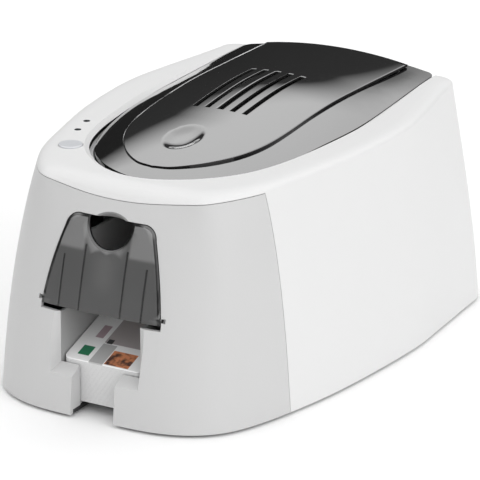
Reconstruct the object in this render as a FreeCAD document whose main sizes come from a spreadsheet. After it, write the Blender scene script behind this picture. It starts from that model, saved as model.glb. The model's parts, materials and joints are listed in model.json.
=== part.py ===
import FreeCAD, Part
import math
import os
import re

import Sketcher
from FreeCAD import Placement, Rotation, Vector

# Desktop card printer. X runs to the right as seen from the front, Y to the back, Z up.
# The origin is on the ground under the middle of the housing.

doc = FreeCAD.newDocument("card_printer")
dims = doc.addObject("Spreadsheet::Sheet", "dims")

SIZES = {
    # housing, taken over its outside
    "front_reach": 161.2,
    "back_reach": 161.2,
    "widest_place": 36.0,
    "half_width": 115.0,
    "back_half_width": 110.0,
    "back_corner": 24.0,
    "shell_wall": 2.6,
    "ground_gap": 2.0,
    "seam_gap": 0.4,
    "seam_place": 90.5,
    # brow, the edge where the front turns into the top
    "brow_height": 138.7,
    "brow_reach": 130.2,
    "brow_half_width": 103.0,
    "brow_back_half_width": 87.0,
    "brow_back_reach": 152.0,
    "brow_back_corner": 10.0,
    "brow_rise": 3.9,
    "brow_depth": 12.5,
    "brow_dip": 5.1,
    "brow_dip_half_width": 72.0,
    "brow_seam_drop": 0.3,
    "shoulder_depth": 9.0,
    "back_top_depth": 5.0,
    "side_bulge": 2.4,
    # lid
    "lid_nose": 103.5,
    "lid_half_width": 74.6,
    "lid_back_half_width": 71.0,
    "lid_back_reach": 150.0,
    "lid_back_corner": 5.0,
    "lid_nose_height": 137.5,
    "lid_crown": 15.6,
    "lid_wall": 2.4,
    "lid_skirt": 6.0,
    "lid_gap": 0.8,
    "lid_ledge": 4.0,
    "rim_flare": 10.5,
    "panel_nose": 88.0,
    "panel_half_width": 50.6,
    "panel_back_reach": 146.0,
    "panel_back_half_width": 52.5,
    "panel_raise": 2.2,
    "panel_seat": 0.9,
    "panel_border": 5.0,
    "fit_gap": 0.3,
    "louvre_pitch": 9.0,
    "louvre_width": 3.4,
    "louvre_length": 75.0,
    "louvre_start": -8.0,
    "dimple_place": -52.0,
    "dimple_half_width": 11.5,
    "dimple_half_length": 17.0,
    "dimple_depth": 2.0,
    "hinge_place": 141.0,
    "hinge_height": 141.0,
    "hinge_pin_radius": 2.0,
    "running_gap": 0.06,
    "back_slot_height": 131.0,
    "back_skirt_height": 134.0,
    # feeder door in the front
    "door_foot_height": 67.0,
    "door_half_width": 41.7,
    "door_knee_half_width": 31.5,
    "door_knee_height": 114.5,
    "door_peak_half_width": 22.0,
    "door_top_height": 122.2,
    "notch_half_width": 15.2,
    "notch_height": 104.5,
    "door_thick": 2.0,
    "door_proud": 0.6,
    "door_gap": 0.5,
    "door_pin_radius": 1.5,
    "door_pin_height": 69.5,
    "door_rim": 1.6,
    "door_rib": 1.2,
    "door_rib_place": 14.5,
    "door_rib_foot": 74.0,
    "door_rib_top": 102.0,
    "door_pin_set_back": 3.2,
    "door_barrel_radius": 2.6,
    "scoop_height": 111.5,
    "scoop_radius": 17.6,
    "scoop_ball": 20.0,
    # output bay
    "bay_half_width": 33.5,
    "bay_foot_half_width": 31.2,
    "throat_place": 150.0,
    "throat_height": 31.0,
    "bay_depth_end": 70.0,
    "bay_top": 63.4,
    "lip_height": 26.0,
    "cutout_half_width": 15.2,
    "tray_wall": 2.0,
    "tray_front_height": 7.0,
    "tray_slope": 18.0,
    "tray_half_width": 27.9,
    "card_width": 53.98,
    "card_length": 85.6,
    "card_thick": 0.76,
    "card_corner": 3.18,
    "stack_height": 26.0,
    "card_front": 149.0,
    # base
    "foot_radius": 8.0,
    "foot_height": 3.0,
    "foot_x": 76.0,
    "foot_front": 105.0,
    "foot_back": 130.0,
    "base_thick": 2.5,
    # chassis and card path
    "frame_inside": 45.0,
    "frame_thick": 1.5,
    "frame_front": 72.0,
    "frame_flange": 9.0,
    "tie_radius": 3.0,
    "tie_margin": 7.0,
    "tie_low": 20.0,
    "screw_reach": 6.0,
    "frame_back": 120.0,
    "frame_height": 116.0,
    "path_height": 71.5,
    "hopper_half_width": 28.2,
    "hopper_wall": 2.0,
    "hopper_height": 104.0,
    "hopper_front": 134.0,
    "hopper_ear": 24.0,
    "hopper_lap": 9.0,
    "roller_pitch": 36.0,
    "first_roller": -54.0,
    "roller_radius": 9.0,
    "roller_half_length": 29.0,
    "shaft_radius": 3.0,
    "bushing_radius": 5.0,
    "bushing_thick": 2.5,
    "gear_module": 1.0,
    "gear_width": 5.0,
    "gear_teeth": 18,
    "drive_teeth": 36,
    "pinion_teeth": 12,
    "gear_backlash": 0.16,
    "gear_stand_off": 3.5,
    "gear_step": 1.0,
    "pin_head": 1.2,
    "motor_boss_radius": 6.0,
    "motor_bore": 9.0,
    "motor_half": 14.0,
    "motor_length": 36.0,
    "motor_shaft_radius": 1.6,
    "pinch_radius": 5.0,
    "pinch_shaft_radius": 2.0,
    # ribbon and print head
    "film_middle": 18.0,
    "spool_reach": 46.0,
    "spool_height": 106.0,
    "spool_radius": 6.0,
    "spool_bore": 3.0,
    "supply_radius": 17.0,
    "takeup_radius": 11.0,
    "ribbon_half_width": 30.0,
    "flange_thick": 1.5,
    "flange_margin": 2.0,
    "film_thick": 0.3,
    "head_half_width": 28.0,
    "head_half_depth": 5.0,
    "head_height": 12.0,
    "head_gap": 0.6,
    "sink_height": 16.0,
    "sink_fin": 1.2,
    "sink_fin_pitch": 4.0,
    "sink_half_depth": 9.0,
    "spring_rise": 7.0,
    "spring_thick": 0.6,
    "spring_width": 10.0,
    "bracket_half_depth": 12.0,
    "bracket_thick": 2.0,
    "post_radius": 3.0,
    "lid_plate_half_width": 50.0,
    "lid_plate_front": -58.0,
    "lid_plate_back": 118.0,
    "lid_plate_height": 137.0,
    "lid_plate_thick": 2.0,
    "arm_outer": 62.0,
    "arm_width": 7.0,
    "arm_thick": 5.0,
    "barrel_radius": 4.5,
    "bracket_foot": 6.5,
    "bracket_lap": 22.0,
    "hinge_low": 100.0,
    # front panel parts
    "button_x": -63.6,
    "button_y": -81.0,
    "button_radius": 7.5,
    "button_thick": 6.0,
    "button_travel": 0.8,
    "button_gap": 0.3,
    "lamp_radius": 2.2,
    "lamp_length": 7.0,
    "lamp1_x": -75.6,
    "lamp1_y": -54.2,
    "lamp2_x": -79.6,
    "lamp2_y": -37.5,
    "button_proud": 0.6,
    "button_flange": 1.2,
    "button_room": 6.5,
    "panel_board_x": -88.0,
    "panel_board_y": -92.0,
    "panel_board_z": 124.0,
    "panel_board_width": 34.0,
    "panel_board_length": 64.0,
    "boss1_x": -82.0,
    "boss1_y": -66.0,
    "boss2_x": -84.0,
    "boss2_y": -42.0,
    "board_thick": 1.6,
    "board_gap": 6.0,
    "board_length": 150.0,
    "board_tall": 74.0,
    "board_low": 18.0,
    # back connectors
    "connector_half_width": 40.0,
    "connector_low": 14.0,
    "connector_high": 44.0,
    "connector_rise": 7.0,
    "back_lean_room": 2.6,
    "jack_radius": 4.0,
    "jack_bore": 2.9,
    "jack_length": 12.0,
    "jack_x": -20.0,
    "usb_x": 12.0,
    "usb_half_width": 6.0,
    "usb_height": 11.0,
    "usb_length": 16.0,
    "usb_wall": 0.8,
    "screw_radius": 1.5,
    "screw_head_radius": 2.8,
    "screw_head_thick": 1.6,
}

for row, (alias, number) in enumerate(SIZES.items(), start=1):
    dims.set(f"A{row}", alias)
    dims.set(f"B{row}", str(number))
    dims.setAlias(f"B{row}", alias)
doc.recompute()


class Sheet:
    """Reads a size of the sheet by its alias."""

    def __getattr__(self, alias):
        return float(dims.get(alias))


d = Sheet()
nodes = []
WORD = re.compile(r"[a-z][a-z0-9_]*")


def formula(text):
    """A sum of size names, as an expression on the sheet."""
    return WORD.sub(lambda word: "dims." + word.group() if word.group() in SIZES else word.group(), text)


def place(item, corner):
    for axis, text in zip("xyz", corner):
        item.setExpression("Placement.Base." + axis, formula(text))
    return item


def block(name, sizes, corner):
    """A box whose three sizes and low corner are sums of size names."""
    box = doc.addObject("Part::Box", name)
    for side, text in zip(("Length", "Width", "Height"), sizes):
        box.setExpression(side, formula(text))
    return place(box, corner)


TURNS = {
    "X": Rotation(Vector(0, 1, 0), 90),
    "Y": Rotation(Vector(1, 0, 0), -90),
    "Z": Rotation(),
}


def rod(name, radius, length, start, along="X"):
    """A cylinder along one axis, from its start point."""
    bar = doc.addObject("Part::Cylinder", name)
    bar.Placement = Placement(Vector(), TURNS[along])
    bar.setExpression("Radius", formula(radius))
    bar.setExpression("Height", formula(length))
    return place(bar, start)


def fuse(name, *pieces):
    joined = doc.addObject("Part::MultiFuse", name)
    joined.Shapes = list(pieces)
    return joined


def group(name, *pieces):
    """Separate like solids kept in one node."""
    pack = doc.addObject("Part::Compound", name)
    pack.Links = list(pieces)
    return pack


def cut(name, base, *tools):
    taken = doc.addObject("Part::Cut", name)
    taken.Base = base
    taken.Tool = tools[0] if len(tools) == 1 else fuse(name + "_tools", *tools)
    return taken


def common(name, base, tool):
    shared = doc.addObject("Part::Common", name)
    shared.Base = base
    shared.Tool = tool
    return shared


def shaped(name, shape):
    """A free-form piece whose shape is worked out from the sheet."""
    item = doc.addObject("Part::Feature", name)
    item.Shape = shape
    return item


def node(label, item):
    item.Label = label
    nodes.append(item)
    return item


# outlines of the moulded housing

SIDE_SHARES = [(0.0, 1.0), (0.26, 0.997), (0.443, 0.98), (0.617, 0.928), (0.739, 0.838), (0.861, 0.62), (0.957, 0.3)]
BROW_SHARES = [(0.0, 1.0), (0.26, 0.992), (0.45, 0.976), (0.59, 0.943), (0.735, 0.814), (0.85, 0.598), (0.955, 0.299)]
LID_SHARES = [(0.0, 1.0), (0.26, 0.968), (0.49, 0.893), (0.715, 0.76), (0.845, 0.6), (0.925, 0.4), (0.975, 0.19)]
PANEL_SHARES = [(0.0, 1.0), (0.2, 0.972), (0.44, 0.885), (0.8, 0.715), (0.94, 0.555), (0.978, 0.37), (0.99, 0.2)]
BACK_SHARES = [(0.0, 0.0), (0.33, 0.16), (0.64, 0.55), (1.0, 1.0)]
RISE_SHARES = [0.0, 0.36, 0.69]
LEAN_SHARES = (0.31, 0.755)
# how far along the run each point lies, the same for every outline, so that lofts stay light
HALF_RUN_SHARES = (0.0, 0.07, 0.125, 0.18, 0.235, 0.32, 0.46, 0.59, 0.73, 0.86, 1.0)
RUN_SHARES = [-share for share in HALF_RUN_SHARES[:0:-1]] + list(HALF_RUN_SHARES)
CAP_SHARES = [(0.0, 0.0, 0.0), (0.5, 0.2, 0.08), (0.86, 0.55, 0.4), (1.0, 1.0, 1.0)]


class Level:
    """One closed outline of the housing, at its height above the ground."""

    def __init__(self, shares, height, tilt, front, half, back_half, back, corner, dip=0.0):
        self.shares = shares
        self.height = height
        self.tilt = tilt
        self.front = front
        self.half = half
        self.back_half = back_half
        self.back = back
        self.corner = corner
        self.dip = dip

    def point(self, x, y):
        """Place on the tilted plane, drawn down in an arch over the middle of the front."""
        share = min(abs(x) / d.brow_dip_half_width, 1.0)
        arch = self.dip * (1 - share**2) ** 2 if y < d.widest_place else 0.0
        return Vector(x, y, self.height + self.tilt * (y + self.front) - arch)

    def turn(self, inset):
        """Radius of the back corner of the outline drawn in by an inset."""
        return self.corner - inset if self.corner > 2 * inset else self.corner / 2

    def side(self, inset, sign):
        """Points from beside the nose to the back corner, on one side."""
        reach = self.front - inset + d.widest_place
        points = []
        for x_share, y_share in self.shares:
            points.append(self.point(sign * x_share * (self.half - inset), d.widest_place - y_share * reach))
        end_y = self.back - inset - self.turn(inset)
        for y_share, x_share in BACK_SHARES:
            x = self.half - inset - (self.half - self.back_half) * x_share
            points.append(self.point(sign * x, between(d.widest_place, end_y, y_share)))
        return points

    def outline(self, inset=0.0):
        """Smooth run round the nose from back corner to back corner, closed by arcs and the back edge."""
        left = self.side(inset, -1)
        right = self.side(inset, 1)
        run = Part.BSplineCurve()
        run.interpolate(Points=left[:0:-1] + right, Parameters=RUN_SHARES)
        corner = self.turn(inset)
        back = self.back - inset
        turn_x = self.back_half - inset - corner
        bulge = corner * math.sqrt(0.5)
        edges = [run.toShape()]
        middle = self.point(turn_x + bulge, back - corner + bulge)
        stop = self.point(turn_x, back)
        edges.append(Part.Arc(right[-1], middle, stop).toShape())
        edges.append(Part.LineSegment(stop, self.point(-turn_x, back)).toShape())
        middle = self.point(-turn_x - bulge, back - corner + bulge)
        edges.append(Part.Arc(self.point(-turn_x, back), middle, left[-1]).toShape())
        return Part.Wire(Part.__sortEdges__(edges))


def between(low, high, share):
    return low + (high - low) * share


def lean(rise):
    """How far the fascia has gone back at a share of its rise, more quickly near the brow."""
    return LEAN_SHARES[0] * rise + LEAN_SHARES[1] * rise**2


def housing_levels():
    """Outlines from the ground to the brow, then over the shoulder to the top."""
    levels = []
    for share in RISE_SHARES:
        swell = d.side_bulge * 4 * share * (1 - share)
        levels.append(
            Level(
                SIDE_SHARES,
                between(d.ground_gap, d.brow_height, share),
                0.0,
                between(d.front_reach, d.brow_reach, lean(share)),
                between(d.half_width, d.brow_half_width, share) + swell / 2,
                between(d.back_half_width, d.brow_back_half_width, share) + swell,
                between(d.back_reach, d.brow_back_reach, share) + swell / 4,
                between(d.back_corner, d.brow_back_corner, share),
            )
        )
    return levels


TOP_TILT_SHARE = 0.0215
LID_TILT_SHARE = 0.045


def cap_levels():
    levels = []
    for rise_share, front_share, side_share in CAP_SHARES:
        levels.append(
            Level(
                BROW_SHARES,
                d.brow_height + d.brow_rise * rise_share,
                TOP_TILT_SHARE,
                d.brow_reach - d.brow_depth * front_share,
                d.brow_half_width - d.shoulder_depth * side_share,
                d.brow_back_half_width - d.shoulder_depth * side_share,
                d.brow_back_reach - d.back_top_depth * side_share,
                d.brow_back_corner,
                d.brow_dip * (1 - rise_share),
            )
        )
    return levels


def lowered(wire, drop):
    copy = wire.copy()
    copy.translate(Vector(0, 0, -drop))
    return copy


def housing_solid(inset):
    """The housing's outer form, or the same form drawn in by a wall."""
    drop = max(inset, 0.0)
    walls = housing_levels()
    cap = cap_levels()
    rising = [level.outline(inset) for level in walls] + [lowered(cap[0].outline(inset), drop)]
    if inset > 0:
        rising[0] = lowered(rising[0], d.ground_gap)
    crest = [lowered(level.outline(inset), drop) for level in cap]
    faces = Part.makeLoft(rising, False, False).Faces + Part.makeLoft(crest, False, inset > 0).Faces
    faces += [Part.Face(rising[0]), Part.Face(crest[-1])]
    skin = Part.Compound(faces)
    skin.sewShape()
    return Part.Solid(skin.Shells[0])


def lid_level():
    return Level(
        LID_SHARES,
        d.lid_nose_height,
        LID_TILT_SHARE,
        d.lid_nose,
        d.lid_half_width,
        d.lid_back_half_width,
        d.lid_back_reach,
        d.lid_back_corner,
    )


def panel_level():
    return Level(
        PANEL_SHARES,
        d.lid_nose_height,
        LID_TILT_SHARE,
        d.panel_nose,
        d.panel_half_width,
        d.panel_back_half_width,
        d.panel_back_reach,
        d.lid_back_corner,
    )


def prism(level, inset, drop, height):
    """Upright solid over an outline, from drop below it."""
    face = Part.Face(lowered(level.outline(inset), drop))
    return face.extrude(Vector(0, 0, height))


# crown of the lid: place along Y, width and rise, as shares of the nose reach, half width and crown
CROWN_SHARES = [
    (-1.09, 0.55, -0.07),
    (-0.62, 0.82, 0.49),
    (-0.23, 1.0, 0.77),
    (0.35, 1.05, 1.0),
    (0.84, 1.03, 0.83),
    (1.53, 0.98, 0.42),
]
CROWN_EDGE_SHARE = 0.08
DIMPLE_RISE_SHARE = 0.56
BOWL_SHARES = ((1.25, -1.0), (1.0, 0.1), (0.75, 0.7), (0.35, 1.0))
QUARTER_TURN = 90
LOUVRE_STEPS = (-2, -1, 0, 1, 2)
RIB_SHARES = (-0.9, -0.3, 0.3, 0.9)
CHIP_SHARES = ((-0.3, 0.35, 0.22), (0.0, 0.55, 0.15), (0.22, 0.2, 0.28), (0.3, 0.65, 0.12))
TALL_SHARE = 2.0


def crown_solid(lift):
    """Everything under the lid's double-curved top, lifted or lowered."""
    floor = d.brow_height - d.lid_crown * TALL_SHARE
    wires = []
    for y_share, x_share, rise_share in CROWN_SHARES:
        y = y_share * d.lid_nose
        base = d.lid_nose_height + LID_TILT_SHARE * (y + d.lid_nose) + lift
        x = x_share * d.lid_half_width
        side_z = base + min(rise_share - CROWN_EDGE_SHARE / 2, -CROWN_EDGE_SHARE) * d.lid_crown
        left, right = Vector(-x, y, side_z), Vector(x, y, side_z)
        top = Vector(0, y, base + rise_share * d.lid_crown)
        low_left, low_right = Vector(-x, y, floor), Vector(x, y, floor)
        wires.append(
            Part.Wire(
                [
                    Part.Arc(left, top, right).toShape(),
                    Part.LineSegment(right, low_right).toShape(),
                    Part.LineSegment(low_right, low_left).toShape(),
                    Part.LineSegment(low_left, left).toShape(),
                ]
            )
        )
    return Part.makeLoft(wires, True, False)


def half_space(low, high):
    """A large upright box between two places along Y."""
    wide = 2 * d.half_width
    tall = 2 * d.brow_height
    return Part.makeBox(2 * wide, high - low, tall, Vector(-wide, low, -d.ground_gap))


def brow_cutter(drop):
    """Everything above the arched line just under the brow, lowered by a gap."""
    brow = cap_levels()[0]
    run = []
    for sign in (-1, 1):
        for point in brow.side(0.0, sign)[: len(BROW_SHARES)]:
            if point.x != 0 or sign > 0:
                run.append(Vector(point.x, -2 * d.front_reach, point.z - d.brow_seam_drop - drop))
    run.sort(key=lambda point: point.x)
    line = Part.BSplineCurve()
    line.interpolate(run)
    wide = 2 * d.half_width
    high = 2 * d.brow_height
    near = run[0].y
    corners = [run[-1], Vector(wide, near, run[-1].z), Vector(wide, near, high)]
    corners += [Vector(-wide, near, high), Vector(-wide, near, run[0].z), run[0]]
    face = Part.Face(Part.Wire(Part.__sortEdges__([line.toShape()] + Part.makePolygon(corners).Edges)))
    return face.extrude(Vector(0, 2 * d.front_reach, 0))


outer = housing_solid(0.0)
inner = housing_solid(d.shell_wall)
core = housing_solid(2 * d.shell_wall)
shell = outer.cut(inner)


def front_y(height):
    """The fascia's middle line at a height, measured to the front."""
    return -between(d.front_reach, d.brow_reach, lean((height - d.ground_gap) / (d.brow_height - d.ground_gap)))


# main cover: top, sides and back in one moulding
lid_outline = lid_level()
panel_outline = panel_level()
opening = prism(lid_outline, -d.lid_gap, d.lid_skirt + d.lid_gap, 2 * d.lid_crown)
well = prism(lid_outline, d.lid_ledge, 4 * d.lid_skirt, 4 * d.lid_crown)
rim_low = lid_outline.outline(-d.lid_gap)
rim_high = Level(
    LID_SHARES,
    d.brow_height + d.brow_rise + TOP_TILT_SHARE * (d.brow_reach - d.lid_nose),
    TOP_TILT_SHARE,
    d.lid_nose + d.rim_flare,
    d.lid_half_width + d.rim_flare / 2,
    d.lid_back_half_width + d.rim_flare / 4,
    d.lid_back_reach + d.lid_gap,
    d.lid_back_corner,
).outline()
dish = Part.makeLoft([rim_low, lowered(rim_high, -d.seam_gap)], True, True)
ledge = prism(lid_outline, -d.lid_gap - d.shell_wall, d.lid_skirt + d.lid_gap + d.shell_wall, d.lid_skirt + d.lid_gap)
back_slot = Part.makeBox(
    2 * (d.lid_back_half_width + d.lid_gap),
    8 * d.shell_wall,
    d.brow_height,
    Vector(-d.lid_back_half_width - d.lid_gap, d.lid_back_reach - 3 * d.shell_wall, d.back_slot_height),
)
body_zone = half_space(-d.seam_place, 2 * d.back_reach).fuse(brow_cutter(0.0))
cover = shell.fuse(ledge.common(outer)).common(body_zone)
cover = cover.cut(opening).cut(well).cut(dish).cut(back_slot)
connector_hole = Part.makeBox(
    2 * (d.connector_half_width + d.fit_gap),
    8 * d.shell_wall,
    d.connector_high - d.connector_low + 2 * d.fit_gap,
    Vector(-d.connector_half_width - d.fit_gap, d.back_reach - 6 * d.shell_wall, d.connector_low - d.fit_gap),
)
cover = cover.cut(connector_hole)
button_hole = Part.makeCylinder(
    d.button_radius + d.button_gap, 4 * d.lid_crown, Vector(d.button_x, d.button_y, d.brow_height - d.lid_crown)
)
cover = cover.cut(button_hole)
for x, y in ((d.lamp1_x, d.lamp1_y), (d.lamp2_x, d.lamp2_y)):
    cover = cover.cut(
        Part.makeCylinder(d.lamp_radius + d.running_gap, 4 * d.lid_crown, Vector(x, y, d.brow_height - d.lid_crown))
    )
node("main_cover", shaped("MainCover", cover))

# front cover: the fascia with the door opening, the finger scoop, the bay and the lip
def door_outline(grow):
    """Feeder door seen from the front, in the plane of Y zero, grown by a gap."""
    foot = d.door_foot_height - grow
    half = d.door_half_width + grow
    knee = d.door_knee_half_width + grow
    peak = d.door_peak_half_width
    top = d.door_top_height + grow
    middle_z = (foot + d.door_knee_height) / 2
    middle_x = (half + knee) / 2 + d.door_barrel_radius / 2
    edges = []
    start = Vector(half, 0, foot)
    side = Vector(knee, 0, d.door_knee_height)
    edges.append(Part.Arc(start, Vector(middle_x, 0, middle_z), side).toShape())
    bow = Vector(between(peak, knee, math.sqrt(0.5)), 0, between(d.door_knee_height, top, math.sqrt(0.5)))
    crest = Vector(peak, 0, top)
    edges.append(Part.Arc(side, bow, crest).toShape())
    edges.append(Part.LineSegment(crest, Vector(-peak, 0, top)).toShape())
    bow = Vector(-bow.x, 0, bow.z)
    edges.append(Part.Arc(Vector(-peak, 0, top), bow, Vector(-knee, 0, d.door_knee_height)).toShape())
    edges.append(
        Part.Arc(Vector(-knee, 0, d.door_knee_height), Vector(-middle_x, 0, middle_z), Vector(-half, 0, foot)).toShape()
    )
    edges.append(Part.LineSegment(Vector(-half, 0, foot), start).toShape())
    return Part.Wire(edges)


def forward(wire):
    """Solid through the whole front, from a wire in the plane of Y zero."""
    far = lowered(wire, 0.0)
    far.translate(Vector(0, -2 * d.front_reach, 0))
    return Part.Face(far).extrude(Vector(0, 2 * d.front_reach - d.seam_place - d.shell_wall, 0))


door_zone = forward(door_outline(d.door_gap))


def bay_ring(half, foot_half, y, foot, reach):
    """Corners of the bay's opening, drawn on along its own funnel."""
    mouth_top = Vector(half, front_y(d.bay_top), d.bay_top)
    mouth_foot = Vector(foot_half, front_y(foot), foot)
    throat_top = Vector(d.tray_half_width + d.fit_gap, y, d.bay_top)
    throat_foot = Vector(d.tray_half_width + d.fit_gap, y, d.throat_height)
    top = throat_top + (mouth_top - throat_top) * reach
    low = throat_foot + (mouth_foot - throat_foot) * reach
    top.z += d.fit_gap
    corners = [low, top, Vector(-top.x, top.y, top.z), Vector(-low.x, low.y, low.z)]
    return Part.makePolygon(corners + corners[:1])


FUNNEL_SHARES = (-0.06, 1.6)
funnel = [
    bay_ring(d.bay_half_width, d.bay_foot_half_width, -d.throat_place, d.lip_height, share) for share in FUNNEL_SHARES
]
bay_zone = Part.makeLoft(funnel, True, True)
foot_relief = Part.makeBox(
    2 * (d.door_half_width + d.door_gap),
    d.front_reach,
    d.door_foot_height - d.bay_top,
    Vector(-d.door_half_width - d.door_gap, -2 * d.front_reach + d.bay_depth_end, d.bay_top),
)
cutout_zone = Part.makeBox(
    2 * d.cutout_half_width,
    d.front_reach,
    d.throat_height + d.ground_gap,
    Vector(-d.cutout_half_width, -2 * d.front_reach + d.bay_depth_end, 0),
)
scoop_centre = Vector(0, front_y(d.scoop_height) - math.sqrt(d.scoop_ball**2 - d.scoop_radius**2), d.scoop_height)
scoop = Part.makeSphere(d.scoop_ball, scoop_centre)
front_zone = half_space(-2 * d.front_reach, -d.seam_place - d.seam_gap).cut(brow_cutter(d.seam_gap))
fascia = shell.common(front_zone)
block_half = d.bay_half_width + 4 * d.tray_wall
lip_low = d.ground_gap + d.base_thick + d.fit_gap


def front_box(low_x, high_x, back_y, low_z, high_z):
    """Box from well before the fascia to a place behind it."""
    return Part.makeBox(high_x - low_x, d.front_reach, high_z - low_z, Vector(low_x, back_y - d.front_reach, low_z))


lip_block = front_box(-block_half, block_half, -d.throat_place, lip_low, d.bay_top).common(outer)
fascia = fascia.fuse(lip_block)
pocket_back = -d.throat_place - d.tray_wall
for sign in (-1, 1):
    near_x = sorted((sign * (d.cutout_half_width + d.tray_wall), sign * (block_half - d.tray_wall)))
    far_x = sorted((sign * (d.bay_half_width + d.tray_wall), sign * (block_half - d.tray_wall)))
    pocket = front_box(near_x[0], near_x[1], pocket_back, 0, d.lip_height - d.tray_wall)
    pocket = pocket.fuse(front_box(far_x[0], far_x[1], pocket_back, 0, d.bay_top - d.tray_wall))
    fascia = fascia.cut(pocket.common(inner))
scoop_backing = Part.makeSphere(d.scoop_ball + d.shell_wall, scoop_centre).common(outer).common(front_zone)
fascia = fascia.fuse(scoop_backing)
tray_room_half = d.tray_half_width + d.tray_wall + d.fit_gap
tray_room = Part.makeBox(
    2 * tray_room_half,
    d.throat_place - d.bay_depth_end,
    d.bay_top,
    Vector(-tray_room_half, -d.throat_place, 0),
)
fascia = fascia.cut(door_zone).cut(bay_zone).cut(foot_relief).cut(cutout_zone).cut(tray_room).cut(scoop)
pin_y = front_y(d.door_pin_height) + d.door_pin_set_back
lugs = []
for sign in (1, -1):
    low = min(sign * (d.door_half_width + d.door_gap), sign * (d.door_half_width + d.door_gap + d.tray_wall))
    lug = Part.makeBox(
        d.tray_wall,
        4 * d.door_pin_radius + d.door_pin_set_back,
        4 * d.door_pin_radius,
        Vector(low, pin_y - d.door_pin_set_back, d.door_pin_height - 2 * d.door_pin_radius),
    )
    lugs.append(lug.common(outer))
pin_hole = Part.makeCylinder(
    d.door_pin_radius + d.running_gap,
    4 * d.half_width,
    Vector(-2 * d.half_width, pin_y, d.door_pin_height),
    Vector(1, 0, 0),
)
short_hole = pin_hole.common(
    Part.makeBox(
        2 * (d.door_half_width + d.door_gap + d.tray_wall + d.seam_gap),
        d.front_reach,
        d.brow_height,
        Vector(-d.door_half_width - d.door_gap - d.tray_wall - d.seam_gap, -d.front_reach, 0),
    )
)
for lug in lugs:
    fascia = fascia.fuse(lug)
fascia = fascia.cut(short_hole)
node("front_cover", shaped("FrontCover", fascia))

# feeder door: smoked flap that follows the fascia, with a barrel and pins at its foot
notch = Part.Wire(
    [
        Part.Arc(
            Vector(-d.notch_half_width, 0, d.door_top_height),
            Vector(0, 0, d.notch_height),
            Vector(d.notch_half_width, 0, d.door_top_height),
        ).toShape(),
        Part.makePolygon(
            [
                Vector(d.notch_half_width, 0, d.door_top_height),
                Vector(d.notch_half_width, 0, d.door_top_height + d.door_thick),
                Vector(-d.notch_half_width, 0, d.door_top_height + d.door_thick),
                Vector(-d.notch_half_width, 0, d.door_top_height),
            ]
        ),
    ]
)
door_skin = housing_solid(-d.door_proud).cut(housing_solid(d.door_thick - d.door_proud))
door = door_skin.common(forward(door_outline(0.0))).cut(forward(notch))
barrel = Part.makeCylinder(
    d.door_barrel_radius,
    2 * (d.door_half_width - d.door_gap),
    Vector(-d.door_half_width + d.door_gap, pin_y, d.door_pin_height),
    Vector(1, 0, 0),
)
pin_reach = d.door_half_width + d.door_gap + d.tray_wall
pins = Part.makeCylinder(d.door_pin_radius, 2 * pin_reach, Vector(-pin_reach, pin_y, d.door_pin_height), Vector(1, 0, 0))
door = door.fuse(barrel).fuse(pins)
node("feeder_door", shaped("FeederDoor", door))

# lid: outer band and the raised panel with its louvres and dimple
LID_REACH = 2 * d.lid_skirt
LID_TALL = 4 * d.lid_crown
band = crown_solid(0.0).common(prism(lid_outline, 0.0, d.lid_skirt, LID_TALL))
band = band.cut(crown_solid(-d.lid_wall).common(prism(lid_outline, d.lid_wall, LID_REACH, LID_TALL)))
band = band.cut(prism(panel_outline, -d.fit_gap, LID_REACH, LID_TALL))
back_skirt = Part.makeBox(
    2 * (d.lid_back_half_width - 2 * d.lid_back_corner),
    d.lid_wall,
    d.lid_nose_height - d.back_skirt_height + d.lid_skirt,
    Vector(-d.lid_back_half_width + 2 * d.lid_back_corner, d.lid_back_reach - d.lid_wall, d.back_skirt_height),
)
band = band.fuse(back_skirt)
for low_x in (-d.frame_inside - d.frame_thick - d.bracket_foot - d.lid_gap, d.frame_inside + d.frame_thick - d.lid_gap):
    slot = Part.makeBox(
        d.bracket_foot + 2 * d.lid_gap,
        4 * d.lid_wall,
        d.brow_height,
        Vector(low_x, d.lid_back_reach - 3 * d.lid_wall, d.hinge_height + d.barrel_radius + d.lid_gap - d.brow_height),
    )
    band = band.cut(slot)
node("lid_band", shaped("LidBand", band))

panel_under = crown_solid(-d.lid_wall)
panel = crown_solid(d.panel_raise).cut(panel_under)
panel = panel.common(prism(panel_outline, 0.0, LID_REACH, LID_TALL))
for step in LOUVRE_STEPS:
    slot = Part.makeBox(
        d.louvre_width,
        d.louvre_length,
        LID_TALL,
        Vector(step * d.louvre_pitch - d.louvre_width / 2, d.louvre_start, d.brow_height),
    )
    panel = panel.cut(slot)
dimple_share = DIMPLE_RISE_SHARE * d.lid_crown
dimple_z = d.lid_nose_height + LID_TILT_SHARE * (d.dimple_place + d.lid_nose) + d.panel_raise + dimple_share
rings = []
for wide_share, drop_share in BOWL_SHARES:
    oval = Part.Ellipse(Vector(), d.dimple_half_length * wide_share, d.dimple_half_width * wide_share).toShape()
    oval.rotate(Vector(), Vector(0, 0, 1), QUARTER_TURN)
    oval.translate(Vector(0, d.dimple_place, dimple_z - d.dimple_depth * drop_share))
    rings.append(Part.Wire([oval]))
panel = panel.cut(Part.makeLoft(rings, True, False))
node("lid_panel", shaped("LidPanel", panel))

# pieces turned on a lathe or moulded round, and gears


def plane(body, role):
    return next(item for item in body.Origin.OriginFeatures if item.Role == role)


def sketch_on(body, name, role="XY_Plane"):
    sketch = body.newObject("Sketcher::SketchObject", name)
    sketch.AttachmentSupport = [(plane(body, role), "")]
    sketch.MapMode = "FlatFace"
    return sketch


def draw(sketch, points):
    """Closed outline of straight runs through the points."""
    for start, end in zip(points, points[1:] + points[:1]):
        sketch.addGeometry(Part.LineSegment(Vector(*start, 0), Vector(*end, 0)), False)


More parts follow.
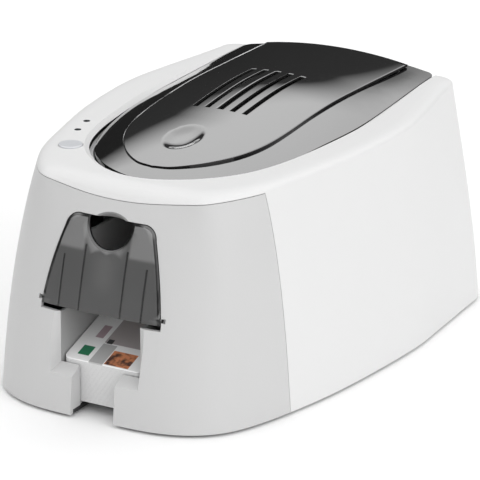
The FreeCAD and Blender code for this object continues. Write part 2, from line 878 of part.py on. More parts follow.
def turned(name, profile, centre, along="X"):
    """A round piece from its half profile: radius and place along the axis."""
    body = doc.addObject("PartDesign::Body", name)
    sketch = sketch_on(body, name + "Profile", "XZ_Plane")
    draw(sketch, profile)
    spun = body.newObject("PartDesign::Revolution", name + "Turned")
    spun.Profile = sketch
    spun.ReferenceAxis = (sketch, ["V_Axis"])
    body.Placement = Placement(Vector(), TURNS[along])
    return place(body, centre)


def ring(name, bore, radius, low, high, centre, along="X"):
    return turned(name, [(bore, low), (radius, low), (radius, high), (bore, high)], centre, along)


PRESSURE_ANGLE = math.radians(20)
ADDENDUM_SHARE = 1.0
DEDENDUM_SHARE = 1.25


def roll_angle(base, radius):
    """Involute function of the pressure angle at a radius."""
    if radius <= base:
        return 0.0
    slope = math.acos(base / radius)
    return math.tan(slope) - slope


def gap_corners(teeth, turn):
    """Corners of one tooth gap, about the direction given by its turn."""
    pitch_radius = d.gear_module * teeth / 2
    base = pitch_radius * math.cos(PRESSURE_ANGLE)
    tip = pitch_radius + ADDENDUM_SHARE * d.gear_module
    root = pitch_radius - DEDENDUM_SHARE * d.gear_module
    half_tooth = math.pi / (2 * teeth) - d.gear_backlash / (2 * pitch_radius)
    flank = []
    for radius in (root, pitch_radius, tip):
        wide = math.pi / teeth - half_tooth - roll_angle(base, pitch_radius) + roll_angle(base, radius)
        flank.append((radius, wide))
    flank.append(((tip + d.gear_backlash) / math.cos(math.pi / teeth), wide))
    corners = flank + [(radius, -wide) for radius, wide in reversed(flank)]
    return [(radius * math.cos(turn + wide), radius * math.sin(turn + wide)) for radius, wide in corners]


def gear(name, teeth_alias, bore, start, half_pitch_turned=False):
    """Spur gear along X: a disc with its tooth gaps cut in a ring."""
    teeth = round(getattr(d, teeth_alias))
    body = doc.addObject("PartDesign::Body", name)
    disc = sketch_on(body, name + "Disc")
    for text in (f"gear_module * ({teeth_alias} / 2 + 1)", bore):
        index = disc.addGeometry(Part.Circle(Vector(), Vector(0, 0, 1), d.gear_module), False)
        disc.addConstraint(Sketcher.Constraint("Coincident", index, 3, -1, 1))
        size = disc.addConstraint(Sketcher.Constraint("Radius", index, d.gear_module))
        disc.setExpression(f"Constraints[{size}]", formula(text))
    pad = body.newObject("PartDesign::Pad", name + "Pad")
    pad.Profile = disc
    pad.setExpression("Length", formula("gear_width"))
    gap = sketch_on(body, name + "Gap")
    draw(gap, gap_corners(teeth, math.pi / teeth if half_pitch_turned else 0.0))
    pocket = body.newObject("PartDesign::Pocket", name + "Pocket")
    pocket.Profile = gap
    pocket.Type = "ThroughAll"
    pocket.Reversed = True
    row = body.newObject("PartDesign::PolarPattern", name + "Teeth")
    row.Originals = [pocket]
    row.Axis = (gap, ["N_Axis"])
    row.Angle = 360
    row.Occurrences = teeth
    body.Tip = row
    body.Placement = Placement(Vector(), TURNS["X"])
    return place(body, start)


# base plate and feet
thumb = "cutout_half_width + fit_gap"
plate_outline = housing_levels()[0].outline(d.shell_wall + 2 * d.fit_gap)
plate_form = shaped("BasePlateForm", Part.Face(plate_outline).extrude(Vector(0, 0, d.base_thick)))
plate_thumb = block(
    "BasePlateThumb",
    (f"2 * ({thumb})", "front_reach - card_front + lip_height / 2", "lip_height"),
    (f"-{thumb.replace(' + ', ' - ')}", "-front_reach", "-ground_gap"),
)
foot_holes = []
feet = []
spigot = d.foot_radius / 2
for index, (sign, along) in enumerate((("-", "-foot_front"), ("", "-foot_front"), ("-", "foot_back"), ("", "foot_back"))):
    centre = (sign + "foot_x", along, "0")
    foot_holes.append(
        rod(f"FootHole{index + 1}", "foot_radius / 2 + running_gap", "base_thick + 2 * ground_gap", centre, "Z")
    )
    profile = [
        (0, 0),
        (d.foot_radius - d.fit_gap, 0),
        (d.foot_radius, d.fit_gap),
        (d.foot_radius, d.ground_gap),
        (spigot, d.ground_gap),
        (spigot, d.ground_gap + d.base_thick),
        (0, d.ground_gap + d.base_thick),
    ]
    feet.append(turned(f"Foot{index + 1}", profile, centre, "Z"))
node("base_plate", cut("BasePlate", plate_form, plate_thumb, *foot_holes))
node("feet", group("Feet", *feet))

# side frames: sheet plates with a bottom flange, bored for everything they carry
FLOOR = "ground_gap + base_thick"
ROLLERS = ("first_roller", "first_roller + roller_pitch", "first_roller + 2 * roller_pitch", "first_roller + 3 * roller_pitch")
IDLERS = ("first_roller + roller_pitch / 2", "first_roller + 3 * roller_pitch / 2")
DRIVE = "first_roller + 5 * roller_pitch / 2"
ROLLER_HEIGHT = "path_height - roller_radius"
PINCHES = (ROLLERS[1], ROLLERS[3])
PINCH_HEIGHT = "path_height + card_thick + pinch_radius + fit_gap"
MOTOR_HEIGHT = f"{ROLLER_HEIGHT} - gear_module * (drive_teeth + pinion_teeth) / 2"
TIES = (
    ("tie_margin - frame_front", "frame_height - tie_margin"),
    ("first_roller + roller_pitch / 2", "tie_low"),
    ("frame_back - tie_margin", "tie_low"),
    ("frame_back - bracket_lap - tie_margin", "frame_height - tie_margin"),
)
SPOOLS = ("film_middle + spool_reach", "film_middle - spool_reach")


def frame_sides(name, sign, low_x):
    """Plate, bottom flange and the tools that bore them, for one side."""
    plate = block(
        name + "Plate",
        ("frame_thick", "frame_back + frame_front", f"frame_height - ({FLOOR})"),
        (low_x, "-frame_front", FLOOR),
    )
    flange_x = "frame_inside" if sign > 0 else "-frame_inside - frame_flange"
    flange = block(
        name + "Flange",
        ("frame_flange", "frame_back + frame_front", "frame_thick"),
        (flange_x, "-frame_front", FLOOR),
    )
    tools = []
    through = "frame_thick + 2 * fit_gap"
    start_x = low_x + " - fit_gap"
    for index, y in enumerate(ROLLERS):
        tools.append(rod(f"{name}Bearing{index + 1}", "bushing_radius", through, (start_x, y, ROLLER_HEIGHT)))
    for index, y in enumerate(PINCHES):
        tools.append(
            rod(f"{name}Pinch{index + 1}", "pinch_shaft_radius + running_gap", through, (start_x, y, PINCH_HEIGHT))
        )
    for index, (y, z) in enumerate(TIES):
        tools.append(rod(f"{name}Tie{index + 1}", "screw_radius + running_gap", through, (start_x, y, z)))
    for index, y in enumerate(SPOOLS):
        tools.append(rod(f"{name}Spool{index + 1}", "spool_bore + running_gap", through, (start_x, y, "spool_height")))
        tools.append(
            block(
                f"{name}Slot{index + 1}",
                (through, "2 * (spool_bore + running_gap)", "frame_height - spool_height + fit_gap"),
                (start_x, y + " - spool_bore - running_gap", "spool_height"),
            )
        )
    return fuse(name + "Bent", plate, flange), tools


right_form, right_tools = frame_sides("RightFrame", 1, "frame_inside")
left_form, left_tools = frame_sides("LeftFrame", -1, "-frame_inside - frame_thick")
left_start = "-frame_inside - frame_thick - fit_gap"
for index, y in enumerate(IDLERS + (DRIVE,)):
    left_tools.append(
        rod(f"LeftFramePin{index + 1}", "shaft_radius", "frame_thick + 2 * fit_gap", (left_start, y, ROLLER_HEIGHT))
    )
left_tools.append(
    rod("LeftFrameMotor", "motor_boss_radius + fit_gap", "frame_thick + 2 * fit_gap", (left_start, DRIVE, MOTOR_HEIGHT))
)
node("side_frame_right", cut("RightFrame", right_form, *right_tools))
node("side_frame_left", cut("LeftFrame", left_form, *left_tools))

# cross ties with tapped ends, and the screws that hold them
ties = []
screws = []
screw_grip = "frame_thick + screw_reach"
for index, (y, z) in enumerate(TIES):
    bar = rod(f"Tie{index + 1}", "tie_radius", "2 * frame_inside", ("-frame_inside", y, z))
    ends = [
        rod(f"Tie{index + 1}EndA", "screw_radius", "screw_reach", ("-frame_inside", y, z)),
        rod(f"Tie{index + 1}EndB", "screw_radius", "screw_reach", ("frame_inside - screw_reach", y, z)),
    ]
    ties.append(cut(f"TieBored{index + 1}", bar, *ends))
    for side, head_x, shank_x in (
        ("Left", "-frame_inside - frame_thick - screw_head_thick", "-frame_inside - frame_thick"),
        ("Right", "frame_inside + frame_thick", "frame_inside - screw_reach"),
    ):
        head = rod(f"Screw{side}{index + 1}Head", "screw_head_radius", "screw_head_thick", (head_x, y, z))
        shank = rod(f"Screw{side}{index + 1}Shank", "screw_radius", screw_grip, (shank_x, y, z))
        screws.append(fuse(f"Screw{side}{index + 1}", head, shank))
node("cross_ties", group("CrossTies", *ties))
node("frame_screws", group("FrameScrews", *screws))

# rollers: steel shaft, rubber sleeve, gear on the left end, a bush at each frame
bushings = []
ROLLER_NAMES = ("feed", "transport", "platen", "exit")
flange_radius = d.bushing_radius + d.frame_thick
for index, (title, y) in enumerate(zip(ROLLER_NAMES, ROLLERS)):
    label = title.capitalize()
    shaft = rod(
        label + "Shaft",
        "shaft_radius",
        "2 * frame_inside + 2 * frame_thick + gear_stand_off + gear_width + bushing_thick",
        ("-frame_inside - frame_thick - gear_stand_off - gear_width", y, ROLLER_HEIGHT),
    )
    node(title + "_roller_shaft", shaft)
    sleeve = ring(
        label + "Sleeve",
        d.shaft_radius,
        d.roller_radius,
        -d.roller_half_length,
        d.roller_half_length,
        ("0", y, ROLLER_HEIGHT),
    )
    node(title + "_roller_rubber", sleeve)
    wheel = gear(
        label + "Gear",
        "gear_teeth",
        "shaft_radius",
        ("-frame_inside - frame_thick - gear_stand_off - gear_width", y, ROLLER_HEIGHT),
    )
    node(title + "_roller_gear", wheel)
    inside = d.frame_inside - d.bushing_thick
    outside = d.frame_inside + d.frame_thick
    for sign in (-1, 1):
        profile = [
            (d.shaft_radius + d.running_gap, sign * inside),
            (flange_radius, sign * inside),
            (flange_radius, sign * d.frame_inside),
            (d.bushing_radius, sign * d.frame_inside),
            (d.bushing_radius, sign * outside),
            (d.shaft_radius + d.running_gap, sign * outside),
        ]
        side = "Right" if sign > 0 else "Left"
        bushings.append(turned(f"Bushing{side}{index + 1}", profile, ("0", y, ROLLER_HEIGHT)))
node("bushings", group("Bushings", *bushings))

# gear train: two idlers, the drive gear with its large wheel, and the motor with its pinion
pins = []
pin_out = "frame_thick + gear_stand_off + gear_width + pin_head"
long_pin = "frame_thick + gear_stand_off + 2 * gear_width + gear_step + pin_head"
for index, y in enumerate(IDLERS + (DRIVE,)):
    reach = long_pin if y == DRIVE else pin_out
    stem = rod(f"GearPin{index + 1}Stem", "shaft_radius", reach, ("-frame_inside - " + reach.replace("+", "-"), y, ROLLER_HEIGHT))
    cap = rod(
        f"GearPin{index + 1}Cap",
        "shaft_radius + pin_head",
        "pin_head - running_gap",
        ("-frame_inside - " + reach.replace("+", "-"), y, ROLLER_HEIGHT),
    )
    pins.append(fuse(f"GearPin{index + 1}", stem, cap))
node("gear_pins", group("GearPins", *pins))
free_bore = "shaft_radius + running_gap"
near_gear = "-frame_inside - frame_thick - gear_stand_off - gear_width"
far_gear = near_gear + " - gear_step - gear_width"
for index, y in enumerate(IDLERS):
    wheel = gear(f"Idler{index + 1}", "gear_teeth", free_bore, (near_gear, y, ROLLER_HEIGHT), True)
    node(("front" if index == 0 else "middle") + "_idler_gear", wheel)
small_wheel = gear("DriveSmall", "gear_teeth", free_bore, (near_gear, DRIVE, ROLLER_HEIGHT), True)
large_wheel = gear("DriveLarge", "drive_teeth", free_bore, (far_gear, DRIVE, ROLLER_HEIGHT), True)
hub = ring(
    "DriveHub",
    d.shaft_radius + d.running_gap,
    d.bushing_radius,
    0,
    d.gear_step,
    (near_gear + " - gear_step", DRIVE, ROLLER_HEIGHT),
)
node("drive_gear", fuse("DriveGear", small_wheel, hub, large_wheel))
node("motor_pinion", gear("Pinion", "pinion_teeth", "motor_shaft_radius", (far_gear, DRIVE, MOTOR_HEIGHT)))
node(
    "motor_shaft",
    rod(
        "MotorShaft",
        "motor_shaft_radius",
        "frame_thick + gear_stand_off + 2 * gear_width + gear_step + motor_bore",
        (far_gear, DRIVE, MOTOR_HEIGHT),
    ),
)
can = block(
    "MotorCan",
    ("motor_length", "2 * motor_half", "2 * motor_half"),
    ("-frame_inside", DRIVE + " - motor_half", MOTOR_HEIGHT + " - motor_half"),
)
boss = rod("MotorBoss", "motor_boss_radius", "frame_thick", ("-frame_inside - frame_thick", DRIVE, MOTOR_HEIGHT))
can_bore = rod(
    "MotorBore",
    "motor_shaft_radius + running_gap",
    "motor_bore + fit_gap + frame_thick",
    ("-frame_inside - frame_thick", DRIVE, MOTOR_HEIGHT),
)
node("drive_motor", cut("DriveMotor", fuse("MotorBody", can, boss), can_bore))

# pinch rollers above the card path
for index, (title, y) in enumerate(zip(("front", "back"), PINCHES)):
    reach = d.frame_inside + d.frame_thick
    profile = [
        (0, -reach),
        (d.pinch_shaft_radius, -reach),
        (d.pinch_shaft_radius, -d.roller_half_length),
        (d.pinch_radius, -d.roller_half_length),
        (d.pinch_radius, d.roller_half_length),
        (d.pinch_shaft_radius, d.roller_half_length),
        (d.pinch_shaft_radius, reach),
        (0, reach),
    ]
    node(title + "_pinch_roller", turned(title.capitalize() + "Pinch", profile, ("0", y, PINCH_HEIGHT)))

# ribbon: two cores with flanges, what is wound on them, and the film between
for title, y, wound in (("supply", SPOOLS[0], d.supply_radius), ("takeup", SPOOLS[1], d.takeup_radius)):
    label = title.capitalize()
    rim = wound + d.flange_margin
    reach = d.frame_inside + d.frame_thick
    wide = d.ribbon_half_width + d.fit_gap
    profile = [
        (0, -reach),
        (d.spool_bore, -reach),
        (d.spool_bore, -wide - d.flange_thick),
        (rim, -wide - d.flange_thick),
        (rim, -wide),
        (d.spool_radius, -wide),
        (d.spool_radius, wide),
        (rim, wide),
        (rim, wide + d.flange_thick),
        (d.spool_bore, wide + d.flange_thick),
        (d.spool_bore, reach),
        (0, reach),
    ]
    node(title + "_spool", turned(label + "Spool", profile, ("0", y, "spool_height")))
    coil = ring(
        label + "Roll", d.spool_radius, wound, -d.ribbon_half_width, d.ribbon_half_width, ("0", y, "spool_height")
    )
    node(title + "_ribbon_roll", coil)

head_bottom = d.path_height + d.card_thick + d.film_thick + d.head_gap
film_low = head_bottom - d.head_gap / 2 - d.film_thick
film_middle = d.film_middle


def film_run(sign, wound):
    """Tangent run from under the head up to a roll, as its two end points."""
    start = Vector(0, film_middle + sign * d.head_half_depth, film_low)
    centre = Vector(0, film_middle + sign * d.spool_reach, d.spool_height)
    reach = centre - start
    radius = wound + d.fit_gap
    tilt = math.atan2(reach.z, sign * reach.y) - math.asin(radius / reach.Length)
    length = math.sqrt(reach.Length**2 - radius**2)
    return start, start + Vector(0, sign * math.cos(tilt) * length, math.sin(tilt) * length)


back_start, back_end = film_run(1, d.supply_radius)
front_start, front_end = film_run(-1, d.takeup_radius)
up = Vector(0, 0, d.film_thick)
film_points = [front_end, front_start, back_start, back_end]
film_points += [back_end + up, back_start + up, front_start + up, front_end + up, front_end]
film_face = Part.Face(Part.makePolygon(film_points))
film = film_face.extrude(Vector(2 * d.ribbon_half_width, 0, 0))
film.translate(Vector(-d.ribbon_half_width, 0, 0))
node("ribbon_film", shaped("RibbonFilm", film))

# print head with its heat sink, leaf spring and hanger under the lid
HEAD_BOTTOM = "path_height + card_thick + film_thick + head_gap"
SINK_BOTTOM = HEAD_BOTTOM + " + head_height"
SINK_TOP = SINK_BOTTOM + " + sink_height"
HANGER_TOP = SINK_TOP + " + spring_rise"
head = block(
    "PrintHead",
    ("2 * head_half_width", "2 * head_half_depth", "head_height"),
    ("-head_half_width", "film_middle - head_half_depth", HEAD_BOTTOM),
)
node("print_head", head)
sink_base = block(
    "HeatSinkBase",
    ("2 * head_half_width", "2 * sink_half_depth", "2 * sink_fin"),
    ("-head_half_width", "film_middle - sink_half_depth", SINK_BOTTOM),
)
fins = [sink_base]
fin_count = 2 * int(d.sink_half_depth / d.sink_fin_pitch) + 1
for index in range(fin_count):
    y = f"film_middle + {index - fin_count // 2} * sink_fin_pitch - sink_fin / 2"
    fins.append(
        block(f"HeatSinkFin{index + 1}", ("2 * head_half_width", "sink_fin", "sink_height"), ("-head_half_width", y, SINK_BOTTOM))
    )
node("heat_sink", fuse("HeatSink", *fins))
spring_low = head_bottom + d.head_height + d.sink_height
spring_half = (fin_count // 2) * d.sink_fin_pitch


def leaf(inset):
    """Arched edge of the leaf spring, from end to end."""
    half = spring_half - inset
    return Part.Arc(
        Vector(0, film_middle - half, spring_low),
        Vector(0, film_middle, spring_low + d.spring_rise - inset),
        Vector(0, film_middle + half, spring_low),
    ).toShape()


leaf_ends = [
    Part.LineSegment(
        Vector(0, film_middle + sign * spring_half, spring_low),
        Vector(0, film_middle + sign * (spring_half - d.spring_thick), spring_low),
    ).toShape()
    for sign in (1, -1)
]
leaf_wire = Part.Wire(Part.__sortEdges__([leaf(0.0), leaf(d.spring_thick)] + leaf_ends))
leaves = []
for index, sign in enumerate((-1, 1)):
    strip = Part.Face(leaf_wire).extrude(Vector(d.spring_width, 0, 0))
    strip.translate(Vector(sign * d.head_half_width / 2 - d.spring_width / 2, 0, 0))
    leaves.append(shaped(f"HeadSpring{index + 1}", strip))
node("head_springs", group("HeadSprings", *leaves))

hanger_top = block(
    "HangerTop",
    ("2 * (head_half_width + fit_gap + bracket_thick)", "2 * bracket_half_depth", "bracket_thick"),
    ("-head_half_width - fit_gap - bracket_thick", "film_middle - bracket_half_depth", HANGER_TOP),
)
hanger_sides = []
for side, x in (("Left", "-head_half_width - fit_gap - bracket_thick"), ("Right", "head_half_width + fit_gap")):
    hanger_sides.append(
        block(
            "Hanger" + side,
            ("bracket_thick", "2 * sink_half_depth", "sink_height + spring_rise + sink_fin"),
            (x, "film_middle - sink_half_depth", SINK_BOTTOM + " - sink_fin"),
        )
    )
node("head_bracket", fuse("HeadBracket", hanger_top, *hanger_sides))

# frame under the lid: plate, hanger posts, arms and hinge barrels
lid_plate = block(
    "LidPlate",
    ("2 * lid_plate_half_width", "lid_plate_back - lid_plate_front", "lid_plate_thick"),
    ("-lid_plate_half_width", "lid_plate_front", "lid_plate_height"),
)
posts = []
for side, sign in (("Left", "-"), ("Right", "")):
    posts.append(
        rod(
            "LidPost" + side,
            "post_radius",
            f"lid_plate_height - ({HANGER_TOP} + bracket_thick)",
            (sign + "head_half_width * 3 / 4", "film_middle", HANGER_TOP + " + bracket_thick"),
            "Z",
        )
    )
arms = []
barrels = []
for side, x in (("Left", "-arm_outer"), ("Right", "arm_outer - arm_width")):
    arms.append(
        block(
            "LidArm" + side,
            ("arm_width", "hinge_place - lid_plate_back + 2 * arm_width", "arm_thick"),
            (x, "lid_plate_back - 2 * arm_width", "lid_plate_height"),
        )
    )
    barrels.append(rod("LidBarrel" + side, "barrel_radius", "arm_width", (x, "hinge_place", "hinge_height")))
arm_bridge = block(
    "LidBridge",
    ("2 * arm_outer", "arm_width", "arm_thick"),
    ("-arm_outer", "lid_plate_back - 2 * arm_width", "lid_plate_height"),
)
pin_room = rod(
    "LidPinRoom", "hinge_pin_radius + running_gap", "2 * arm_outer + 2 * fit_gap", ("-arm_outer - fit_gap", "hinge_place", "hinge_height")
)
ribs_raw = []
for x_share in RIB_SHARES:
    rib = Part.makeBox(
        d.lid_wall,
        d.lid_plate_back - d.lid_plate_front,
        LID_TALL,
        Vector(x_share * d.lid_plate_half_width - d.lid_wall / 2, d.lid_plate_front, d.lid_plate_height + d.lid_plate_thick),
    )
    ribs_raw.append(rib.common(panel_under))
ribs = [shaped(f"LidRib{index + 1}", rib) for index, rib in enumerate(ribs_raw)]
frame_form = fuse("LidFrameForm", lid_plate, *posts, *arms, arm_bridge, *barrels, *ribs)
node("lid_frame", cut("LidFrame", frame_form, pin_room))

hinge_pins = []
brackets = []
for side, sign, x in (("Left", -1, "-frame_inside - frame_thick - bracket_foot"), ("Right", 1, "frame_inside + frame_thick")):
    plate_wing = block(
        "HingeBracket" + side + "Plate",
        (
            "bracket_foot",
            "hinge_place + barrel_radius - frame_back + bracket_lap",
            "lid_plate_height - 2 * fit_gap - hinge_low",
        ),
        (x, "frame_back - bracket_lap", "hinge_low"),
    )
    neck = block(
        "HingeBracket" + side + "Neck",
        ("bracket_foot", "2 * barrel_radius", "hinge_height - hinge_low"),
        (x, "hinge_place - barrel_radius", "hinge_low"),
    )
    eye = rod("HingeBracket" + side + "Eye", "barrel_radius", "bracket_foot", (x, "hinge_place", "hinge_height"))
    bore = rod("HingeBracket" + side + "Bore", "hinge_pin_radius", "bracket_foot", (x, "hinge_place", "hinge_height"))
    brackets.append(cut("HingeBracket" + side, fuse("HingeBracket" + side + "Form", plate_wing, neck, eye), bore))
    pin_x = "-arm_outer" if sign < 0 else "frame_inside + frame_thick"
    hinge_pins.append(
        rod(
            "HingePin" + side,
            "hinge_pin_radius",
            "arm_outer - frame_inside - frame_thick",
            (pin_x, "hinge_place", "hinge_height"),
        )
    )
node("hinge_brackets", group("HingeBrackets", *brackets))
node("hinge_pins", group("HingePins", *hinge_pins))

# feeder hopper behind the door
hopper_base = "path_height - hopper_wall"
HOPPER_BACK = "first_roller - roller_radius + fit_gap"
hopper_length = "hopper_front + " + HOPPER_BACK
floor = block(
    "HopperFloor",
    ("2 * (hopper_half_width + hopper_wall)", hopper_length, "hopper_wall"),
    ("-hopper_half_width - hopper_wall", "-hopper_front", hopper_base),
)
hopper_parts = [floor]
for side, x, ear_x, lap_x in (
    ("Left", "-hopper_half_width - hopper_wall", "-frame_inside", "-frame_inside"),
    ("Right", "hopper_half_width", "hopper_half_width + hopper_wall", "frame_inside - hopper_wall"),
):
    hopper_parts.append(
        block(
            "HopperWall" + side,
            ("hopper_wall", hopper_length, f"hopper_height - ({hopper_base})"),
            (x, "-hopper_front", hopper_base),
        )
    )
    hopper_parts.append(
        block(
            "HopperEar" + side,
            ("frame_inside - hopper_half_width - hopper_wall", "hopper_wall", "hopper_ear"),
            (ear_x, "-frame_front + hopper_wall", "path_height"),
        )
    )
    hopper_parts.append(
        block("HopperLap" + side, ("hopper_wall", "hopper_lap", "hopper_ear"), (lap_x, "-frame_front + hopper_wall", "path_height"))
    )
node("feeder_hopper", fuse("FeederHopper", *hopper_parts))

# output tray: sloped floor with a thumb cut-out, side walls down to the base plate
slope = math.tan(math.radians(d.tray_slope))
tray_front = -d.throat_place + d.fit_gap
tray_back = -d.frame_front + d.tray_wall + d.fit_gap


def tray_line(y, lift):
    return Vector(0, y, d.tray_front_height + (y - tray_front) * slope + lift)


def sloped(low_lift, high_lift, low_x, width):
    """Plate that follows the tray's slope between two lifts above it."""
    corners = [tray_line(tray_front, low_lift), tray_line(tray_back, low_lift)]
    corners += [tray_line(tray_back, high_lift), tray_line(tray_front, high_lift)]
    face = Part.Face(Part.makePolygon(corners + corners[:1]))
    solid = face.extrude(Vector(width, 0, 0))
    solid.translate(Vector(low_x, 0, 0))
    return solid


wall_x = d.tray_half_width + d.tray_wall
floor_level = d.ground_gap + d.base_thick
tray_floor = sloped(-d.tray_wall, 0.0, -wall_x, 2 * wall_x)
side_points = [
    Vector(0, tray_front, floor_level),
    Vector(0, tray_back, floor_level),
    Vector(0, tray_back, d.bay_top - d.fit_gap),
    Vector(0, tray_front, d.bay_top - d.fit_gap),
]
side_face = Part.Face(Part.makePolygon(side_points + side_points[:1]))
tray = tray_floor
for low_x in (-wall_x, d.tray_half_width):
    wall = side_face.extrude(Vector(d.tray_wall, 0, 0))
    wall.translate(Vector(low_x, 0, 0))
    tray = tray.fuse(wall)
tray_thumb = Part.makeBox(
    2 * (d.cutout_half_width + d.fit_gap),
    d.tray_wall + d.lip_height / 2,
    d.brow_height,
    Vector(-d.cutout_half_width - d.fit_gap, tray_front - d.tray_wall, 0),
)
tray = tray.cut(tray_thumb).removeSplitter()
node("output_tray", shaped("OutputTray", tray))


def card_pile(low_lift, high_lift):
    """Cards lying on the slope with their front edges in one upright plane."""
    length = d.card_length * math.cos(math.radians(d.tray_slope))
    pile = Part.makeBox(d.card_width, length, d.brow_height, Vector(-d.card_width / 2, -d.card_front, 0))
    upright = [edge for edge in pile.Edges if edge.Length > d.card_length]
    pile = pile.makeFillet(d.card_corner, upright)
    return pile.common(sloped(low_lift, high_lift, -d.card_width / 2, d.card_width))


card_rise = d.card_thick / math.cos(math.radians(d.tray_slope))
node("card_stack", shaped("CardStack", card_pile(0.0, d.stack_height)))
node("printed_card", shaped("PrintedCard", card_pile(d.stack_height, d.stack_height + card_rise)))

# electronics: main board on the right frame, connectors at the back, button board under the top
BOARD_X = "frame_inside + frame_thick + board_gap"
board = block(
    "MainBoardPlate",
    ("board_thick", "board_length", "board_tall"),
    (BOARD_X, "-board_length / 2 + film_middle", "board_low"),
)
chips = []
for index, (y_share, z_share, size_share) in enumerate(CHIP_SHARES):
    chips.append(
        block(
            f"MainBoardChip{index + 1}",
            ("2 * board_thick", f"board_tall * {size_share}", f"board_tall * {size_share}"),
            (
                BOARD_X + " + board_thick",
                f"film_middle + board_length * {y_share}",
                f"board_low + board_tall * {z_share}",
            ),
        )
    )
node("main_board", fuse("MainBoard", board, *chips))
spacers = []
for index, (y_sign, z_text) in enumerate(
    (("-", "board_low + post_radius"), ("+", "board_low + post_radius"), ("-", "board_low + board_tall - post_radius"), ("+", "board_low + board_tall - post_radius"))
):
    y = f"film_middle {y_sign} (board_length / 2 - post_radius)"
    spacers.append(rod(f"BoardSpacer{index + 1}", "post_radius", "board_gap", ("frame_inside + frame_thick", y, z_text)))
node("board_spacers", group("BoardSpacers", *spacers))

plate_zone = Part.makeBox(
    2 * d.connector_half_width,
    8 * d.shell_wall,
    d.connector_high - d.connector_low,
    Vector(-d.connector_half_width, d.back_reach - 6 * d.shell_wall, d.connector_low),
)
connector_form = shell.common(plate_zone)
jack_z = d.connector_low + d.connector_rise
socket_back = d.back_reach - d.back_lean_room
jack_hole = Part.makeCylinder(
    d.jack_radius + d.fit_gap, 2 * d.back_reach, Vector(d.jack_x, 0, jack_z + d.jack_radius), Vector(0, 1, 0)
)
usb_hole = Part.makeBox(
    2 * (d.usb_half_width + d.fit_gap),
    2 * d.back_reach,
    d.usb_height + 2 * d.fit_gap,
    Vector(d.usb_x - d.usb_half_width - d.fit_gap, 0, jack_z - d.fit_gap),
)
connector_form = connector_form.cut(jack_hole).cut(usb_hole)
node("connector_plate", shaped("ConnectorPlate", connector_form))

rear_board = block(
    "RearBoard",
    ("2 * (connector_half_width - board_gap)", "jack_length + usb_length - shell_wall - 2 * fit_gap", "board_thick"),
    ("-connector_half_width + board_gap", "back_reach - back_lean_room - jack_length - usb_length", "connector_low + connector_rise - board_thick"),
)
rear_posts = []
for side, sign in (("Left", "-"), ("Right", "")):
    rear_posts.append(
        rod(
            "RearPost" + side,
            "post_radius",
            f"connector_low + connector_rise - board_thick - ({FLOOR})",
            (
                f"{sign}(connector_half_width - board_gap - post_radius)",
                "back_reach - back_lean_room - jack_length - usb_length + post_radius",
                FLOOR,
            ),
            "Z",
        )
    )
node("connector_board", fuse("ConnectorBoard", rear_board, *rear_posts))
jack_can = rod(
    "JackCan",
    "jack_radius",
    "jack_length",
    ("jack_x", "back_reach - back_lean_room - jack_length", "connector_low + connector_rise + jack_radius"),
    "Y",
)
jack_body = block(
    "JackBody",
    ("2 * jack_radius + 2 * fit_gap", "jack_length / 2", "2 * jack_radius"),
    (
        "jack_x - jack_radius - fit_gap",
        "back_reach - back_lean_room - jack_length",
        "connector_low + connector_rise",
    ),
)
jack_tunnel = rod(
    "JackTunnel",
    "jack_bore",
    "jack_length",
    ("jack_x", "back_reach - back_lean_room - jack_length + usb_wall", "connector_low + connector_rise + jack_radius"),
    "Y",
)
node("power_socket", cut("PowerSocket", fuse("JackForm", jack_can, jack_body), jack_tunnel))
usb_can = block(
    "UsbCan",
    ("2 * usb_half_width", "usb_length", "usb_height"),
    ("usb_x - usb_half_width", "back_reach - back_lean_room - usb_length", "connector_low + connector_rise"),
)
usb_room = block(
    "UsbRoom",
    ("2 * (usb_half_width - usb_wall)", "usb_length", "usb_height - 2 * usb_wall"),
    (
        "usb_x - usb_half_width + usb_wall",
        "back_reach - back_lean_room - usb_length + usb_wall",
        "connector_low + connector_rise + usb_wall",
    ),
)
usb_tongue = block(
    "UsbTongue",
    ("usb_half_width", "usb_length - usb_wall - fit_gap", "usb_height / 3"),
    (
        "usb_x - usb_half_width / 2",
        "back_reach - back_lean_room - usb_length",
        "connector_low + connector_rise + usb_height / 3",
    ),
)
node("usb_socket", fuse("UsbSocket", cut("UsbShell", usb_can, usb_room), usb_tongue))


def top_height(y):
    """Height of the housing's top along the middle of its shoulders."""
    return d.brow_height + d.brow_rise + TOP_TILT_SHARE * (y + d.brow_reach)


panel_board = Part.makeBox(
    d.panel_board_width,
    d.panel_board_length,
    d.board_thick,
    Vector(d.panel_board_x, d.panel_board_y, d.panel_board_z),
).common(core)
board_top = d.panel_board_z + d.board_thick
switch_top = top_height(d.button_y) - d.shell_wall - d.button_room
switch = Part.makeBox(
    d.button_radius, d.button_radius, switch_top - board_top, Vector(d.button_x - d.button_radius / 2, d.button_y - d.button_radius / 2, board_top)
)
bosses = []
for x, y in ((d.boss1_x, d.boss1_y), (d.boss2_x, d.boss2_y)):
    bosses.append(Part.makeCylinder(d.post_radius, d.brow_height, Vector(x, y, d.panel_board_z)).common(inner))
button_board = panel_board.fuse(switch)
for boss_form in bosses:
    button_board = button_board.fuse(boss_form)
node("button_board", shaped("ButtonBoard", button_board))
button_top = top_height(d.button_y) + d.button_proud
flange_top = top_height(d.button_y) - d.shell_wall - 2 * d.fit_gap
stem_foot = switch_top + d.button_travel + d.fit_gap
button_profile = [
    (0, stem_foot),
    (d.button_radius / 3, stem_foot),
    (d.button_radius / 3, flange_top - d.button_flange),
    (d.button_radius + d.button_flange, flange_top - d.button_flange),
    (d.button_radius + d.button_flange, flange_top),
    (d.button_radius, flange_top),
    (d.button_radius, button_top - d.fit_gap),
    (d.button_radius - d.fit_gap, button_top),
    (0, button_top),
]
